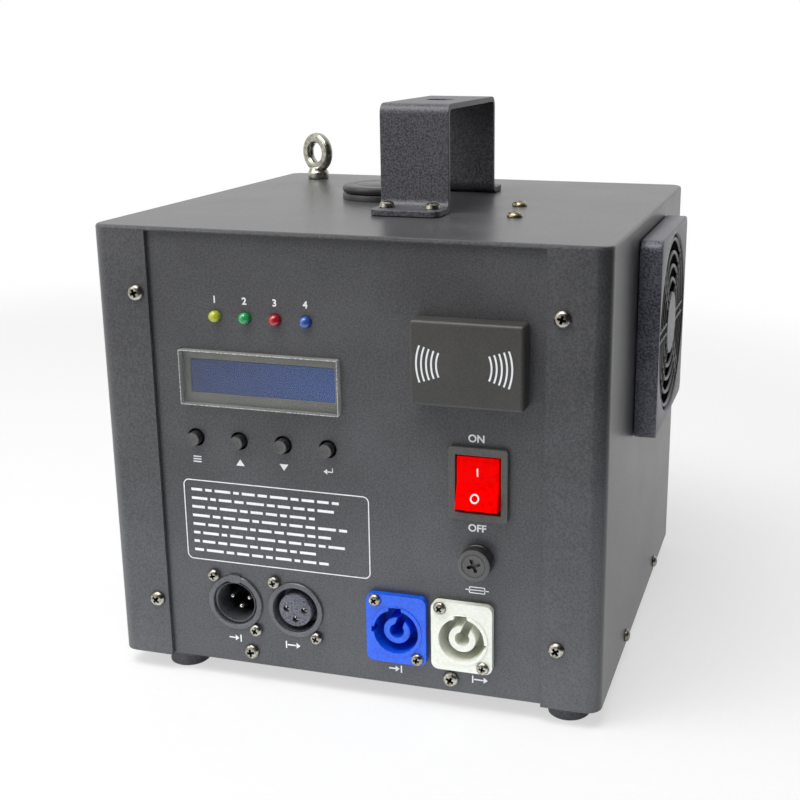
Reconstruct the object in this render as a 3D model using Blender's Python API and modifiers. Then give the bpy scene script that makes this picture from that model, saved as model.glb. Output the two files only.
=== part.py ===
"""Stage spark machine: folded steel case, top handle, front connectors, side fans and the feed inside.

Metres, +Z up, front towards -Y. The origin is under the middle of the machine, on the floor.
Places on the case are measured from its lower front left corner: x to the right, y to the back, z up.
"""
import math

import bmesh
import bpy
from mathutils import Matrix, Vector

# Case
CASE_WIDTH = 0.220
CASE_DEPTH = 0.212
CASE_HEIGHT = 0.194
SHEET = 0.0015
CORNER_RADIUS = 0.0065
TOP_EDGE_RADIUS = 0.0012
FLANGE_WIDTH = 0.025
LIP_DEPTH = 0.0002
SEAT_GAP = 0.0003
OVERLAP = 0.0004
PANEL_WIDTH = CASE_WIDTH - 2 * FLANGE_WIDTH

# Panels and base tray
PANEL_THICKNESS = 0.0012
PANEL_BOTTOM = 0.0006
PANEL_FACE = SHEET + SEAT_GAP
CAVITY = SHEET + SEAT_GAP + PANEL_THICKNESS + SEAT_GAP
FLOOR_Z = PANEL_THICKNESS + SEAT_GAP
TRAY_LIP_HEIGHT = 0.012
TRAY_CORNER_RADIUS = 0.005
VENT_LENGTH = 0.034
VENT_WIDTH = 0.004
VENT_PITCH = 0.010
VENTS_PER_BANK = 11
VENT_BANK_HEIGHTS = (0.055, 0.125)

# Feet
FOOT_HEIGHT = 0.008
FOOT_RADIUS = 0.009
FOOT_FLARE = 0.0008
FOOT_RECESS_RADIUS = 0.0042
FOOT_RECESS_DEPTH = 0.005
FOOT_LEFT_X = 0.026
FOOT_RIGHT_X = CASE_WIDTH - 0.0155
FOOT_FRONT_Y = 0.0145
FOOT_REAR_Y = CASE_DEPTH - FOOT_FRONT_Y

# Places on the top sheet
HOPPER_X = CASE_WIDTH * 0.4023
HOPPER_Y = CASE_DEPTH * 0.5566
OUTLET_Y = HOPPER_Y + 0.048

# Carry handle
HANDLE_X = HOPPER_X + 0.0305
HANDLE_Y = HOPPER_Y - 0.0083
HANDLE_WIDTH = 0.0315
HANDLE_LENGTH = 0.0779
HANDLE_HEIGHT = 0.0470
HANDLE_STRAP = 0.0025
HANDLE_BEND = 0.0045
HANDLE_FOOT_BEND = 0.0032
HANDLE_FOOT = 0.0167
HANDLE_FOOT_CORNER = 0.004
HANDLE_HOLE_RADIUS = 0.0065
HANDLE_SCREW_PITCH = 0.021
HANDLE_SCREW_INSET = 0.0098

# Pan head screws
SCREW_RADIUS = 0.0019
SCREW_HOLE_RADIUS = 0.0022
SCREW_LENGTH = 0.009
SCREW_HEAD_RADIUS = 0.0035
SCREW_HEAD_HEIGHT = 0.0024
SCREW_CROSS_LENGTH = 0.0038
SCREW_CROSS_WIDTH = 0.0009
SCREW_CROSS_DEPTH = 0.0013

# Eye bolt
EYE_X = 0.0250
EYE_Y = CASE_DEPTH - 0.025
EYE_TURN = math.radians(-26.5)
EYE_RING_RADIUS = 0.0077
EYE_WIRE_RADIUS = 0.00275
EYE_COLLAR_RADIUS = 0.0057
EYE_COLLAR_HEIGHT = 0.0040
EYE_SHANK_RADIUS = 0.0025
EYE_SHANK_LENGTH = 0.010
EYE_NUT_RADIUS = 0.0050
EYE_NUT_HEIGHT = 0.0045

# Hopper and its cap
HOPPER_COLLAR_RADIUS = 0.0198
HOPPER_COLLAR_HEIGHT = 0.0026
HOPPER_RADIUS = 0.0178
HOPPER_WALL = 0.0012
HOPPER_STRAIGHT = 0.036
HOPPER_CONE = 0.030
HOPPER_SPOUT_RADIUS = 0.0055
CAP_RADIUS = 0.0206
CAP_THICKNESS = 0.0034
CAP_EDGE = 0.0008
CAP_SKIRT = 0.006
CAP_WALL = 0.0015

# Feed screw, its barrel and its drive
FEED_Z = CASE_HEIGHT - 0.084
BARREL_RADIUS = 0.008
BARREL_WALL = 0.0017
BARREL_FLANGE_RADIUS = 0.0115
BARREL_FLANGE = 0.002
BARREL_START_Y = 0.0725
BARREL_PORT = 0.011
SCREW_SHAFT_RADIUS = 0.002
FLIGHT_RADIUS = 0.0057
FLIGHT_THICKNESS = 0.0014
FLIGHT_END_SET = 0.015
FLIGHT_TURNS = 6
FEED_TAIL = 0.003
RUNNING_GAP = 0.0003
GEAR_MODULE = 0.0012
GEAR_WIDTH = 0.004
DRIVE_TEETH = 14
SCREW_GEAR_TEETH = 28
GEAR_BACKLASH = 0.0003
GEAR_OFFSET = 0.003
MOTOR_RADIUS = 0.0122
MOTOR_LENGTH = 0.042
MOTOR_SHAFT_RADIUS = 0.002
BRACKET_THICKNESS = 0.002
BRACKET_WIDTH = 0.052
BRACKET_FOOT = 0.020
BRACKET_TOP = FEED_Z + 0.017

# Spark chamber, heater and outlet
CHAMBER_RADIUS = 0.013
CHAMBER_WALL = 0.0025
HEATER_THICKNESS = 0.004
HEATER_BOTTOM = CASE_HEIGHT - 0.068
HEATER_TOP = CASE_HEIGHT - 0.026
NOZZLE_FLANGE_RADIUS = 0.0140
NOZZLE_FLANGE = 0.0020
NOZZLE_RADIUS = 0.0122
NOZZLE_BORE = 0.0100
NOZZLE_DEPTH = 0.007

# Blower under the chamber
BLOWER_RADIUS = 0.033
BLOWER_WIDTH = 0.030
BLOWER_WALL = 0.0016
BLOWER_OFFSET = 0.013
BLOWER_DUCT = 0.026
BLOWER_TOP = 0.078
BLOWER_INLET_RADIUS = 0.018
BLOWER_PLINTH_LENGTH = 0.056
BLOWER_PLINTH_HEIGHT = 0.010
IMPELLER_RADIUS = 0.0245
IMPELLER_LENGTH = 0.021
IMPELLER_DISC = 0.0018
IMPELLER_BLADES = 12
IMPELLER_BLADE_DEPTH = 0.006
IMPELLER_BLADE = 0.0010
IMPELLER_HUB_RADIUS = 0.0075
AXLE_RADIUS = 0.002

# Side fans and their guards
FAN_Y = CASE_DEPTH * 0.5104
FAN_Z = CASE_HEIGHT - 0.051
FAN_SIZE = 0.080
FAN_THICKNESS = 0.025
FAN_CORNER = 0.004
FAN_BORE_RADIUS = 0.0378
FAN_HUB_RADIUS = 0.016
FAN_HUB_THICKNESS = 0.004
FAN_STRUT = 0.005
FAN_BLADES = 7
FAN_BLADE_TIP = 0.0368
FAN_BLADE_THICKNESS = 0.0014
FAN_BLADE_WIDTH = 0.017
FAN_BLADE_ANGLE = math.radians(38)
FAN_ROTOR_LENGTH = 0.015
GUARD_SIZE = 0.0872
GUARD_DEPTH = 0.0097
GUARD_CORNER = 0.005
GUARD_BORE_RADIUS = 0.0412
GUARD_HUB_RADIUS = 0.0139
GUARD_RINGS = 4
GUARD_FIRST_RING = 0.0192
GUARD_RING_PITCH = 0.00603
GUARD_RING_WIDTH = 0.0021
GUARD_RING_DEPTH = 0.0030
GUARD_SPOKE = 0.0014
GUARD_SPOKE_DEPTH = 0.0024
GUARD_SPOKE_PITCH = 0.0040
GUARD_FACE_DROP = 0.0006

# Display
LCD_X = FLANGE_WIDTH + PANEL_WIDTH * 0.2853
LCD_Z = 0.1312
LCD_WIDTH = 0.0712
LCD_HEIGHT = 0.0236
LCD_PROUD = 0.0030
LCD_BEZEL_DEPTH = 0.007
LCD_BOARD_WIDTH = 0.080
LCD_BOARD_HEIGHT = 0.036
BOARD_THICKNESS = 0.0016
POST_RADIUS = 0.0022
POST_INSET = 0.0028

# Push buttons
BUTTON_NAMES = ("menu_button", "up_button", "down_button", "enter_button")
BUTTON_X = LCD_X - 0.0310
BUTTON_PITCH = 0.0201
BUTTON_Z = 0.1042
BUTTON_HOLE_RADIUS = 0.0040
BUTTON_RADIUS = 0.0027
BUTTON_PROUD = 0.0035
BUTTON_LENGTH = 0.0075
BUTTON_STEM_RADIUS = 0.0014
BUTTON_STEM = 0.0015
BUTTON_TRAVEL = 0.0015
SWITCH_BODY = 0.0062
BUTTON_BOARD_MARGIN = 0.008
BUTTON_BOARD_HEIGHT = 0.013
SWITCH_BODY_DEPTH = 0.0048

# Indicator lamps
LED_NAMES = ("heat_led", "ready_led", "error_led", "ok_led")
LED_X = LCD_X - 0.0189
LED_PITCH = 0.01345
LED_Z = 0.1577
LED_RADIUS = 0.0025
LED_HOLE_RADIUS = 0.0028
LED_PROUD = 0.0034
LED_LENGTH = 0.0088
LED_RIM = 0.0005

# Radio remote box
REMOTE_X = CASE_WIDTH - FLANGE_WIDTH - PANEL_WIDTH * 0.1765
REMOTE_Z = 0.1462
REMOTE_WIDTH = 0.0465
REMOTE_HEIGHT = 0.0345
REMOTE_PROUD = 0.0090
REMOTE_EDGE = 0.0015
REMOTE_WALL = 0.0016
REMOTE_BOARD_DEPTH = 0.0025

# Signal connectors
DMX_IN_X = FLANGE_WIDTH + PANEL_WIDTH * 0.1882
DMX_OUT_X = DMX_IN_X + 0.0285
DMX_Z = 0.0293
CONNECTOR_HOLE_RADIUS = 0.0121
DMX_LIP_DEPTH = 0.0024
DMX_CORE_SET = 0.0002
DMX_SHELL_RADIUS = 0.0118
DMX_PROUD = 0.0012
DMX_DEPTH = 0.024
DMX_MALE_BORE = 0.0088
DMX_FEMALE_BORE = 0.0100
DMX_MALE_MOUTH = 0.0103
DMX_FEMALE_MOUTH = 0.0104
DMX_FEMALE_CORE = 0.0074
DMX_INSERT_BACK = 0.0083
PIN_CIRCLE = 0.0039
PIN_RADIUS = 0.0012
PIN_LENGTH = 0.0105
SOCKET_RADIUS = 0.0014
SOCKET_DEPTH = 0.008
FLANGE_X_SIZE = 0.0265
FLANGE_Z_SIZE = 0.0315
REAR_FLANGE = 0.0015

# Power connectors
POWER_OUT_X = CASE_WIDTH - FLANGE_WIDTH - PANEL_WIDTH * 0.1982
POWER_IN_X = POWER_OUT_X - 0.0288
POWER_Z = 0.0276
POWER_FLANGE = 0.0022
POWER_CORNER = 0.0025
POWER_BODY_RADIUS = 0.0117
POWER_DEPTH = 0.026
POWER_MOUTH_RADIUS = 0.0104
POWER_MOUTH_DEPTH = 0.015
POWER_POST_RADIUS = 0.0056
POWER_POST_SET = 0.0010
POWER_KEY_WIDTH = 0.0042
POWER_KEY_DEPTH = 0.0014
POWER_SLOT_WIDTH = 0.0036
POWER_SLOT_DEPTH = 0.011

# Rocker switch
ROCKER_X = CASE_WIDTH - FLANGE_WIDTH - PANEL_WIDTH * 0.1582
ROCKER_Z = 0.0955
BEZEL_WIDTH = 0.0247
BEZEL_HEIGHT = 0.0309
BEZEL_THICKNESS = 0.0020
BEZEL_WINDOW_WIDTH = 0.0192
BEZEL_WINDOW_HEIGHT = 0.0246
SWITCH_WIDTH = 0.0215
SWITCH_HEIGHT = 0.0270
SWITCH_DEPTH = 0.022
SWITCH_POCKET = 0.012
ROCKER_WIDTH = 0.0178
ROCKER_HALF = 0.0110
ROCKER_END_PROUD = 0.0042
ROCKER_MID_PROUD = 0.0024
ROCKER_BACK = 0.0040
ROCKER_PIVOT_DEPTH = 0.0015
ROCKER_TILT = math.radians(10)

# Fuse
FUSE_X = ROCKER_X - 0.0006
FUSE_Z = 0.0622
FUSE_FLANGE_RADIUS = 0.0072
FUSE_FLANGE = 0.0015
FUSE_BODY_RADIUS = 0.0059
FUSE_BODY_DEPTH = 0.032
FUSE_BORE_RADIUS = 0.0034
FUSE_CAP_RADIUS = 0.0065
FUSE_CAP_PROUD = 0.0052
FUSE_STEM_LENGTH = 0.006
FUSE_SLOT_WIDTH = 0.0016
FUSE_SLOT_LENGTH = 0.0056
FUSE_SLOT_DEPTH = 0.0012
GLASS_FUSE_RADIUS = 0.0026
GLASS_FUSE_LENGTH = 0.020

# Power supply and control board
SUPPLY_WALL_GAP = 0.0135
SUPPLY_FEED_GAP = 0.0125
SUPPLY_REAR_GAP = 0.0137
SUPPLY_FRONT_Y = 0.075
SUPPLY_WIDTH = CASE_WIDTH - SHEET - SUPPLY_WALL_GAP - HOPPER_X - BRACKET_WIDTH / 2 - SUPPLY_FEED_GAP
SUPPLY_X = HOPPER_X + BRACKET_WIDTH / 2 + SUPPLY_FEED_GAP + SUPPLY_WIDTH / 2
SUPPLY_LENGTH = CASE_DEPTH - CAVITY - SUPPLY_REAR_GAP - SUPPLY_FRONT_Y
SUPPLY_Y = SUPPLY_FRONT_Y + SUPPLY_LENGTH / 2
SUPPLY_HEIGHT = 0.040
CONTROL_Y = 0.075
CONTROL_LEFT = 0.010
CONTROL_FEED_GAP = 0.0025
CONTROL_WIDTH = HOPPER_X - BRACKET_WIDTH / 2 - CONTROL_FEED_GAP - CONTROL_LEFT
CONTROL_X = CONTROL_LEFT + CONTROL_WIDTH / 2
CONTROL_LENGTH = 0.080
CONTROL_STANDOFF = 0.008
CHIP_HEIGHT = 0.012

# Places that follow from the sizes above
FRONT_Y = -(CASE_DEPTH - REMOTE_PROUD + SHEET + SEAT_GAP) / 2
TOP_INSIDE = CASE_HEIGHT - SHEET
GEAR_DISTANCE = GEAR_MODULE * (DRIVE_TEETH + SCREW_GEAR_TEETH) / 2 + GEAR_BACKLASH
BARREL_END_Y = OUTLET_Y - CHAMBER_RADIUS + CHAMBER_WALL
FLIGHT_LENGTH = BARREL_END_Y - BARREL_START_Y - BARREL_FLANGE - FLIGHT_END_SET
FLIGHT_PITCH = FLIGHT_LENGTH / FLIGHT_TURNS
BLOWER_AXIS_Y = OUTLET_Y - BLOWER_OFFSET
BLOWER_AXIS_Z = FLOOR_Z + SEAT_GAP + BLOWER_RADIUS + 0.002

WORLD = Matrix.Identity(4)


def empty_scene():
    for obj in list(bpy.data.objects):
        bpy.data.objects.remove(obj, do_unlink=True)


def collection(name):
    group = bpy.data.collections.new(name)
    bpy.context.scene.collection.children.link(group)
    return group


empty_scene()
PARTS = collection("stage_spark_machine")
CUTTERS = collection("cutters")


# Places
def on_case(x, y, z):
    """Frame at a point measured from the case's lower front left corner."""
    return Matrix.Translation((x - CASE_WIDTH / 2, FRONT_Y + y, FOOT_HEIGHT + z))


def on_front(x, z):
    """Frame on the front panel's face: local X right, local Y up, local Z out."""
    return on_case(x, PANEL_FACE, z) @ Matrix.Rotation(math.pi / 2, 4, "X")


def on_top(x, y):
    """Frame on the top sheet: local Z up."""
    return on_case(x, y, CASE_HEIGHT)


def on_side(side):
    """Frame on the outside of a side wall at the fan's centre: local Z out. side is 1 right, -1 left."""
    x = CASE_WIDTH if side > 0 else 0.0
    return on_case(x, FAN_Y, FAN_Z) @ Matrix.Rotation(side * math.pi / 2, 4, "Y")


# Building blocks
def place(name, mesh, frame, group):
    obj = bpy.data.objects.new(name, mesh)
    group.objects.link(obj)
    obj.matrix_world = frame
    if group is CUTTERS:
        obj.hide_render = True
        obj.display_type = "WIRE"
    return obj


def from_bmesh(name, bm, frame, group):
    mesh = bpy.data.meshes.new(name)
    bm.to_mesh(mesh)
    bm.free()
    return place(name, mesh, frame, group)


def cube_bmesh(size, centre):
    bm = bmesh.new()
    matrix = Matrix.Translation(centre) @ Matrix.Diagonal((*size, 1))
    bmesh.ops.create_cube(bm, size=1.0, matrix=matrix)
    return bm


def edges_along(bm, axis):
    found = []
    for edge in bm.edges:
        step = edge.verts[1].co - edge.verts[0].co
        if abs(step[axis]) > 0.999 * step.length:
            found.append(edge)
    return found


def block(name, size, centre=(0, 0, 0), frame=WORLD, group=None, radius=0.0, axis=2, steps=3):
    """Box, with the edges that run along one axis rounded when a radius is given."""
    bm = cube_bmesh(size, centre)
    if radius > 0:
        edges = edges_along(bm, axis)
        bmesh.ops.bevel(bm, geom=edges, offset=radius, segments=steps, profile=0.5, affect="EDGES")
    return from_bmesh(name, bm, frame, group or PARTS)


def rod(name, radius, low, high, frame=WORLD, group=None, sides=16, offset=(0, 0)):
    """Cylinder along local Z from low to high."""
    bm = bmesh.new()
    matrix = Matrix.Translation((offset[0], offset[1], (low + high) / 2))
    bmesh.ops.create_cone(
        bm, cap_ends=True, segments=sides, radius1=radius, radius2=radius, depth=high - low, matrix=matrix
    )
    return from_bmesh(name, bm, frame, group or PARTS)


def turned(name, profile, frame=WORLD, group=None, sides=20, closed=True):
    """Turned about local Z. The profile runs down its outer side, and back up the bore when closed."""
    bm = bmesh.new()
    points = [bm.verts.new((radius, 0, height)) for radius, height in profile]
    for first, second in zip(points, points[1:]):
        bm.edges.new((first, second))
    if closed:
        bm.edges.new((points[-1], points[0]))
    obj = from_bmesh(name, bm, frame, group or PARTS)
    screw = obj.modifiers.new("turn", "SCREW")
    screw.steps = sides
    screw.render_steps = sides
    screw.use_merge_vertices = True
    screw.merge_threshold = 0.00001
    screw.use_normal_calculate = False
    return obj


def tube(name, radius, bore, low, high, frame=WORLD, group=None, sides=20):
    profile = [(radius, high), (radius, low), (bore, low), (bore, high)]
    return turned(name, profile, frame, group, sides)


def boolean(obj, tool, operation):
    modifier = obj.modifiers.new(tool.name, "BOOLEAN")
    modifier.operation = operation
    modifier.solver = "EXACT"
    modifier.object = tool


def cut(obj, *tools):
    for tool in tools:
        boolean(obj, tool, "DIFFERENCE")
    return obj


def join(obj, *tools):
    for tool in tools:
        boolean(obj, tool, "UNION")
    return obj


def mesh_of(obj):
    """The object as its modifiers leave it, as a plain mesh."""
    graph = bpy.context.evaluated_depsgraph_get()
    return bpy.data.meshes.new_from_object(obj.evaluated_get(graph))


def flat_outline(name, loops, low, high, frame=WORLD, group=None):
    """Flat plate in local XY from one outer outline and any holes, between two heights."""
    curve = bpy.data.curves.new(name, "CURVE")
    curve.dimensions = "2D"
    curve.fill_mode = "BOTH"
    curve.extrude = (high - low) / 2
    for loop in loops:
        spline = curve.splines.new("POLY")
        spline.points.add(len(loop) - 1)
        for point, (x, y) in zip(spline.points, loop):
            point.co = (x, y, 0, 1)
        spline.use_cyclic_u = True
    drawn = bpy.data.objects.new(name + "_outline", curve)
    PARTS.objects.link(drawn)
    mesh = mesh_of(drawn)
    bpy.data.objects.remove(drawn, do_unlink=True)
    bm = bmesh.new()
    bm.from_mesh(mesh)
    bpy.data.meshes.remove(mesh)
    bmesh.ops.remove_doubles(bm, verts=bm.verts[:], dist=0.000001)
    bmesh.ops.translate(bm, verts=bm.verts[:], vec=(0, 0, (high + low) / 2))
    return from_bmesh(name, bm, frame, group or PARTS)


def circle_points(radius, count, centre=(0, 0), start=0.0):
    points = []
    for i in range(count):
        angle = start + 2 * math.pi * i / count
        points.append((centre[0] + radius * math.cos(angle), centre[1] + radius * math.sin(angle)))
    return points


def soften(obj, angle=35):
    """Smooth shading with sharp edges kept."""
    obj.data.shade_smooth()
    obj.data.set_sharp_from_angle(angle=math.radians(angle))
    return obj


def paint(obj, colour, roughness, metallic=0.0, alpha=1.0):
    """Gives the object its own material. The colour is linear red, green and blue."""
    material = bpy.data.materials.new(obj.name + "_finish")
    material.use_nodes = True
    shader = material.node_tree.nodes["Principled BSDF"]
    shader.inputs["Base Color"].default_value = (*colour, 1)
    shader.inputs["Roughness"].default_value = roughness
    shader.inputs["Metallic"].default_value = metallic
    shader.inputs["Alpha"].default_value = alpha
    obj.data.materials.clear()
    obj.data.materials.append(material)
    return obj


def pivot(obj, frame):
    """Parents a moving piece to an empty on its joint's axis, local Z along the axis."""
    empty = bpy.data.objects.new(obj.name + "_axis", None)
    PARTS.objects.link(empty)
    empty.matrix_world = frame
    empty.empty_display_size = 0.01
    obj.parent = empty
    obj.matrix_parent_inverse = frame.inverted()
    return obj


COATED_STEEL = ((0.052, 0.052, 0.055), 0.45, 0.1)
BLACK_PLASTIC = ((0.025, 0.025, 0.026), 0.45)
ZINC = ((0.62, 0.61, 0.57), 0.3, 1.0)
STEEL = ((0.50, 0.50, 0.50), 0.35, 1.0)
RUBBER = ((0.012, 0.012, 0.012), 0.8)
BOARD_GREEN = ((0.02, 0.10, 0.045), 0.5)


# Case
def cover():
    """Top, sides and the return flanges in one folded sheet, open below, in front and behind."""
    centre = (CASE_WIDTH / 2, CASE_DEPTH / 2, CASE_HEIGHT / 2)
    bm = cube_bmesh((CASE_WIDTH, CASE_DEPTH, CASE_HEIGHT), centre)
    corners = edges_along(bm, 2)
    bmesh.ops.bevel(bm, geom=corners, offset=CORNER_RADIUS, segments=5, profile=0.5, affect="EDGES")
    rim = []
    for edge in bm.edges:
        if all(vert.co.z > CASE_HEIGHT - 0.00001 for vert in edge.verts):
            rim.append(edge)
    bmesh.ops.bevel(bm, geom=rim, offset=TOP_EDGE_RADIUS, segments=2, profile=0.5, affect="EDGES")
    bottom = [face for face in bm.faces if all(vert.co.z < 0.00001 for vert in face.verts)]
    bmesh.ops.delete(bm, geom=bottom, context="FACES_ONLY")
    obj = from_bmesh("cover", bm, on_case(0, 0, 0), PARTS)
    wall = obj.modifiers.new("sheet", "SOLIDIFY")
    wall.thickness = SHEET
    wall.offset = -1
    wall.use_even_offset = True
    opening_height = TOP_INSIDE - LIP_DEPTH
    opening = (CASE_WIDTH - 2 * FLANGE_WIDTH, CASE_DEPTH * 1.2, opening_height + 0.01)
    opening_centre = (CASE_WIDTH / 2, CASE_DEPTH / 2, (opening_height - 0.01) / 2)
    cut(obj, block("cut_front_and_rear", opening, opening_centre, on_case(0, 0, 0), CUTTERS))
    for side, word in ((1, "right"), (-1, "left")):
        hole = rod("cut_cover_fan_" + word, FAN_BORE_RADIUS, -0.01, 0.01, on_side(side), CUTTERS, 24)
        cut(obj, hole)
    holes = (
        ("hopper", HOPPER_X, HOPPER_Y, HOPPER_RADIUS + 2 * SEAT_GAP, 24),
        ("nozzle", HOPPER_X, OUTLET_Y, NOZZLE_RADIUS + 2 * SEAT_GAP, 20),
        ("eye", EYE_X, EYE_Y, EYE_SHANK_RADIUS + SEAT_GAP, 12),
    )
    for word, x, y, radius, sides in holes:
        cut(obj, rod("cut_cover_" + word, radius, -0.005, 0.005, on_top(x, y), CUTTERS, sides))
    for number, (x, y) in enumerate(handle_screw_places()):
        hole = rod(f"cut_cover_screw_{number}", SCREW_HOLE_RADIUS, -0.005, 0.005, on_top(x, y), CUTTERS, 8)
        cut(obj, hole)
    return paint(soften(obj), *COATED_STEEL)


def panel(name, y):
    """Flat panel behind the flanges, clear of the bends at both corners."""
    width = CASE_WIDTH - 2 * (CORNER_RADIUS + SEAT_GAP)
    top = TOP_INSIDE - SEAT_GAP
    height = top - PANEL_BOTTOM
    centre = (CASE_WIDTH / 2, y + PANEL_THICKNESS / 2, PANEL_BOTTOM + height / 2)
    return block(name, (width, PANEL_THICKNESS, height), centre, on_case(0, 0, 0))


def front_panel():
    obj = panel("front_panel", PANEL_FACE)
    depth = 0.006

    def window(word, x, z, width, height):
        cut(obj, block("cut_panel_" + word, (width, height, depth), (0, 0, 0), on_front(x, z), CUTTERS))

    def hole(word, x, z, radius, sides=16):
        cut(obj, rod("cut_panel_" + word, radius, -depth / 2, depth / 2, on_front(x, z), CUTTERS, sides))

    window("display", LCD_X, LCD_Z, LCD_WIDTH + 2 * SEAT_GAP, LCD_HEIGHT + 2 * SEAT_GAP)
    window("switch", ROCKER_X, ROCKER_Z, SWITCH_WIDTH + 2 * SEAT_GAP, SWITCH_HEIGHT + 2 * SEAT_GAP)
    for number in range(len(LED_NAMES)):
        hole(f"led_{number}", LED_X + number * LED_PITCH, LED_Z, LED_HOLE_RADIUS, 12)
    for number in range(len(BUTTON_NAMES)):
        hole(f"button_{number}", BUTTON_X + number * BUTTON_PITCH, BUTTON_Z, BUTTON_HOLE_RADIUS)
    for word, x in (("dmx_in", DMX_IN_X), ("dmx_out", DMX_OUT_X)):
        hole(word, x, DMX_Z, CONNECTOR_HOLE_RADIUS, 24)
    for word, x in (("power_in", POWER_IN_X), ("power_out", POWER_OUT_X)):
        hole(word, x, POWER_Z, POWER_BODY_RADIUS + SEAT_GAP, 20)
    hole("fuse", FUSE_X, FUSE_Z, FUSE_BODY_RADIUS + SEAT_GAP)
    hole("remote_wire", REMOTE_X, REMOTE_Z, 0.003, 12)
    return paint(obj, *COATED_STEEL)


def rear_panel():
    """Plain panel with two banks of upright air slots."""
    obj = panel("rear_panel", CASE_DEPTH - PANEL_FACE - PANEL_THICKNESS)
    for bank, z in enumerate(VENT_BANK_HEIGHTS):
        for number in range(VENTS_PER_BANK):
            x = CASE_WIDTH / 2 + (number - (VENTS_PER_BANK - 1) / 2) * VENT_PITCH
            slot_frame = on_case(x, CASE_DEPTH - PANEL_FACE, z)
            size = (VENT_WIDTH, 0.01, VENT_LENGTH)
            slot = block(f"cut_vent_{bank}_{number}", size, (0, 0, 0), slot_frame, CUTTERS)
            cut(obj, slot)
    return paint(obj, *COATED_STEEL)


def base_tray():
    """Shallow tray that fills the case's floor; its lips take the side and panel screws."""
    inset = SHEET + SEAT_GAP
    size = (CASE_WIDTH - 2 * inset, CASE_DEPTH - 2 * CAVITY, TRAY_LIP_HEIGHT)
    centre = (CASE_WIDTH / 2, CASE_DEPTH / 2, TRAY_LIP_HEIGHT / 2)
    bm = cube_bmesh(size, centre)
    corners = edges_along(bm, 2)
    bmesh.ops.bevel(bm, geom=corners, offset=TRAY_CORNER_RADIUS, segments=3, profile=0.5, affect="EDGES")
    lid = [face for face in bm.faces if all(vert.co.z > TRAY_LIP_HEIGHT - 0.00001 for vert in face.verts)]
    bmesh.ops.delete(bm, geom=lid, context="FACES_ONLY")
    obj = from_bmesh("base_tray", bm, on_case(0, 0, 0), PARTS)
    wall = obj.modifiers.new("sheet", "SOLIDIFY")
    wall.thickness = PANEL_THICKNESS
    wall.offset = -1
    wall.use_even_offset = True
    return paint(obj, *COATED_STEEL)


def feet():
    for side, x in (("left", FOOT_LEFT_X), ("right", FOOT_RIGHT_X)):
        for end, y in (("front", FOOT_FRONT_Y), ("rear", FOOT_REAR_Y)):
            profile = [
                (0, -SEAT_GAP),
                (FOOT_RADIUS - FOOT_FLARE, -SEAT_GAP),
                (FOOT_RADIUS, -FOOT_HEIGHT + FOOT_FLARE),
                (FOOT_RADIUS - FOOT_FLARE, -FOOT_HEIGHT),
                (FOOT_RECESS_RADIUS, -FOOT_HEIGHT),
                (FOOT_RECESS_RADIUS, -FOOT_HEIGHT + FOOT_RECESS_DEPTH),
                (0, -FOOT_HEIGHT + FOOT_RECESS_DEPTH),
            ]
            foot = turned(f"{end}_{side}_foot", profile, on_case(x, y, 0), sides=18, closed=False)
            paint(foot, *RUBBER)


# Handle and eye bolt
def handle_screw_places():
    """Case places of the handle's screws, front pair first."""
    reach = HANDLE_LENGTH / 2 + HANDLE_FOOT - HANDLE_SCREW_INSET
    places = []
    for y in (HANDLE_Y - reach, HANDLE_Y + reach):
        for x in (HANDLE_X - HANDLE_SCREW_PITCH / 2, HANDLE_X + HANDLE_SCREW_PITCH / 2):
            places.append((x, y))
    return places


def bend_points(centre, radius, start, end, steps=4):
    points = []
    for i in range(steps + 1):
        angle = math.radians(start + (end - start) * i / steps)
        points.append((centre[0] + radius * math.cos(angle), centre[1] + radius * math.sin(angle)))
    return points


def handle_path():
    """Outer face of the strap from the front foot to the rear foot, as (y, z) points."""
    half = HANDLE_LENGTH / 2
    foot_end = half + HANDLE_FOOT
    top = HANDLE_HEIGHT
    sole = SEAT_GAP + HANDLE_STRAP
    inner = HANDLE_FOOT_BEND
    path = [(-foot_end, sole)]
    path += bend_points((-half - inner, sole + inner), inner, -90, 0)
    path += bend_points((-half + HANDLE_BEND, top - HANDLE_BEND), HANDLE_BEND, 180, 90)
    mirrored = [(-y, z) for y, z in reversed(path)]
    return path + mirrored


def carry_handle():
    """Strap bent to a tall bridge with a foot at each end and a round hole for a hanging bolt."""
    bm = bmesh.new()
    rows = []
    for y, z in handle_path():
        left = bm.verts.new((-HANDLE_WIDTH / 2, y, z))
        right = bm.verts.new((HANDLE_WIDTH / 2, y, z))
        rows.append((left, right))
    for (left, right), (next_left, next_right) in zip(rows, rows[1:]):
        bm.faces.new((left, right, next_right, next_left))
    tips = [*rows[0], *rows[-1]]
    bmesh.ops.bevel(bm, geom=tips, offset=HANDLE_FOOT_CORNER, segments=3, profile=0.5, affect="VERTICES")
    obj = from_bmesh("carry_handle", bm, on_top(HANDLE_X, HANDLE_Y), PARTS)
    strap = obj.modifiers.new("strap", "SOLIDIFY")
    strap.thickness = HANDLE_STRAP
    strap.offset = -1
    strap.use_even_offset = True
    frame = on_top(HANDLE_X, HANDLE_Y)
    low, high = HANDLE_HEIGHT - 0.01, HANDLE_HEIGHT + 0.01
    cut(obj, rod("cut_handle_hole", HANDLE_HOLE_RADIUS, low, high, frame, CUTTERS))
    for number, (x, y) in enumerate(handle_screw_places()):
        hole = rod(f"cut_handle_screw_{number}", SCREW_HOLE_RADIUS, -0.001, 0.01, on_top(x, y), CUTTERS, 8)
        cut(obj, hole)
    return paint(soften(obj), *COATED_STEEL)


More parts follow.
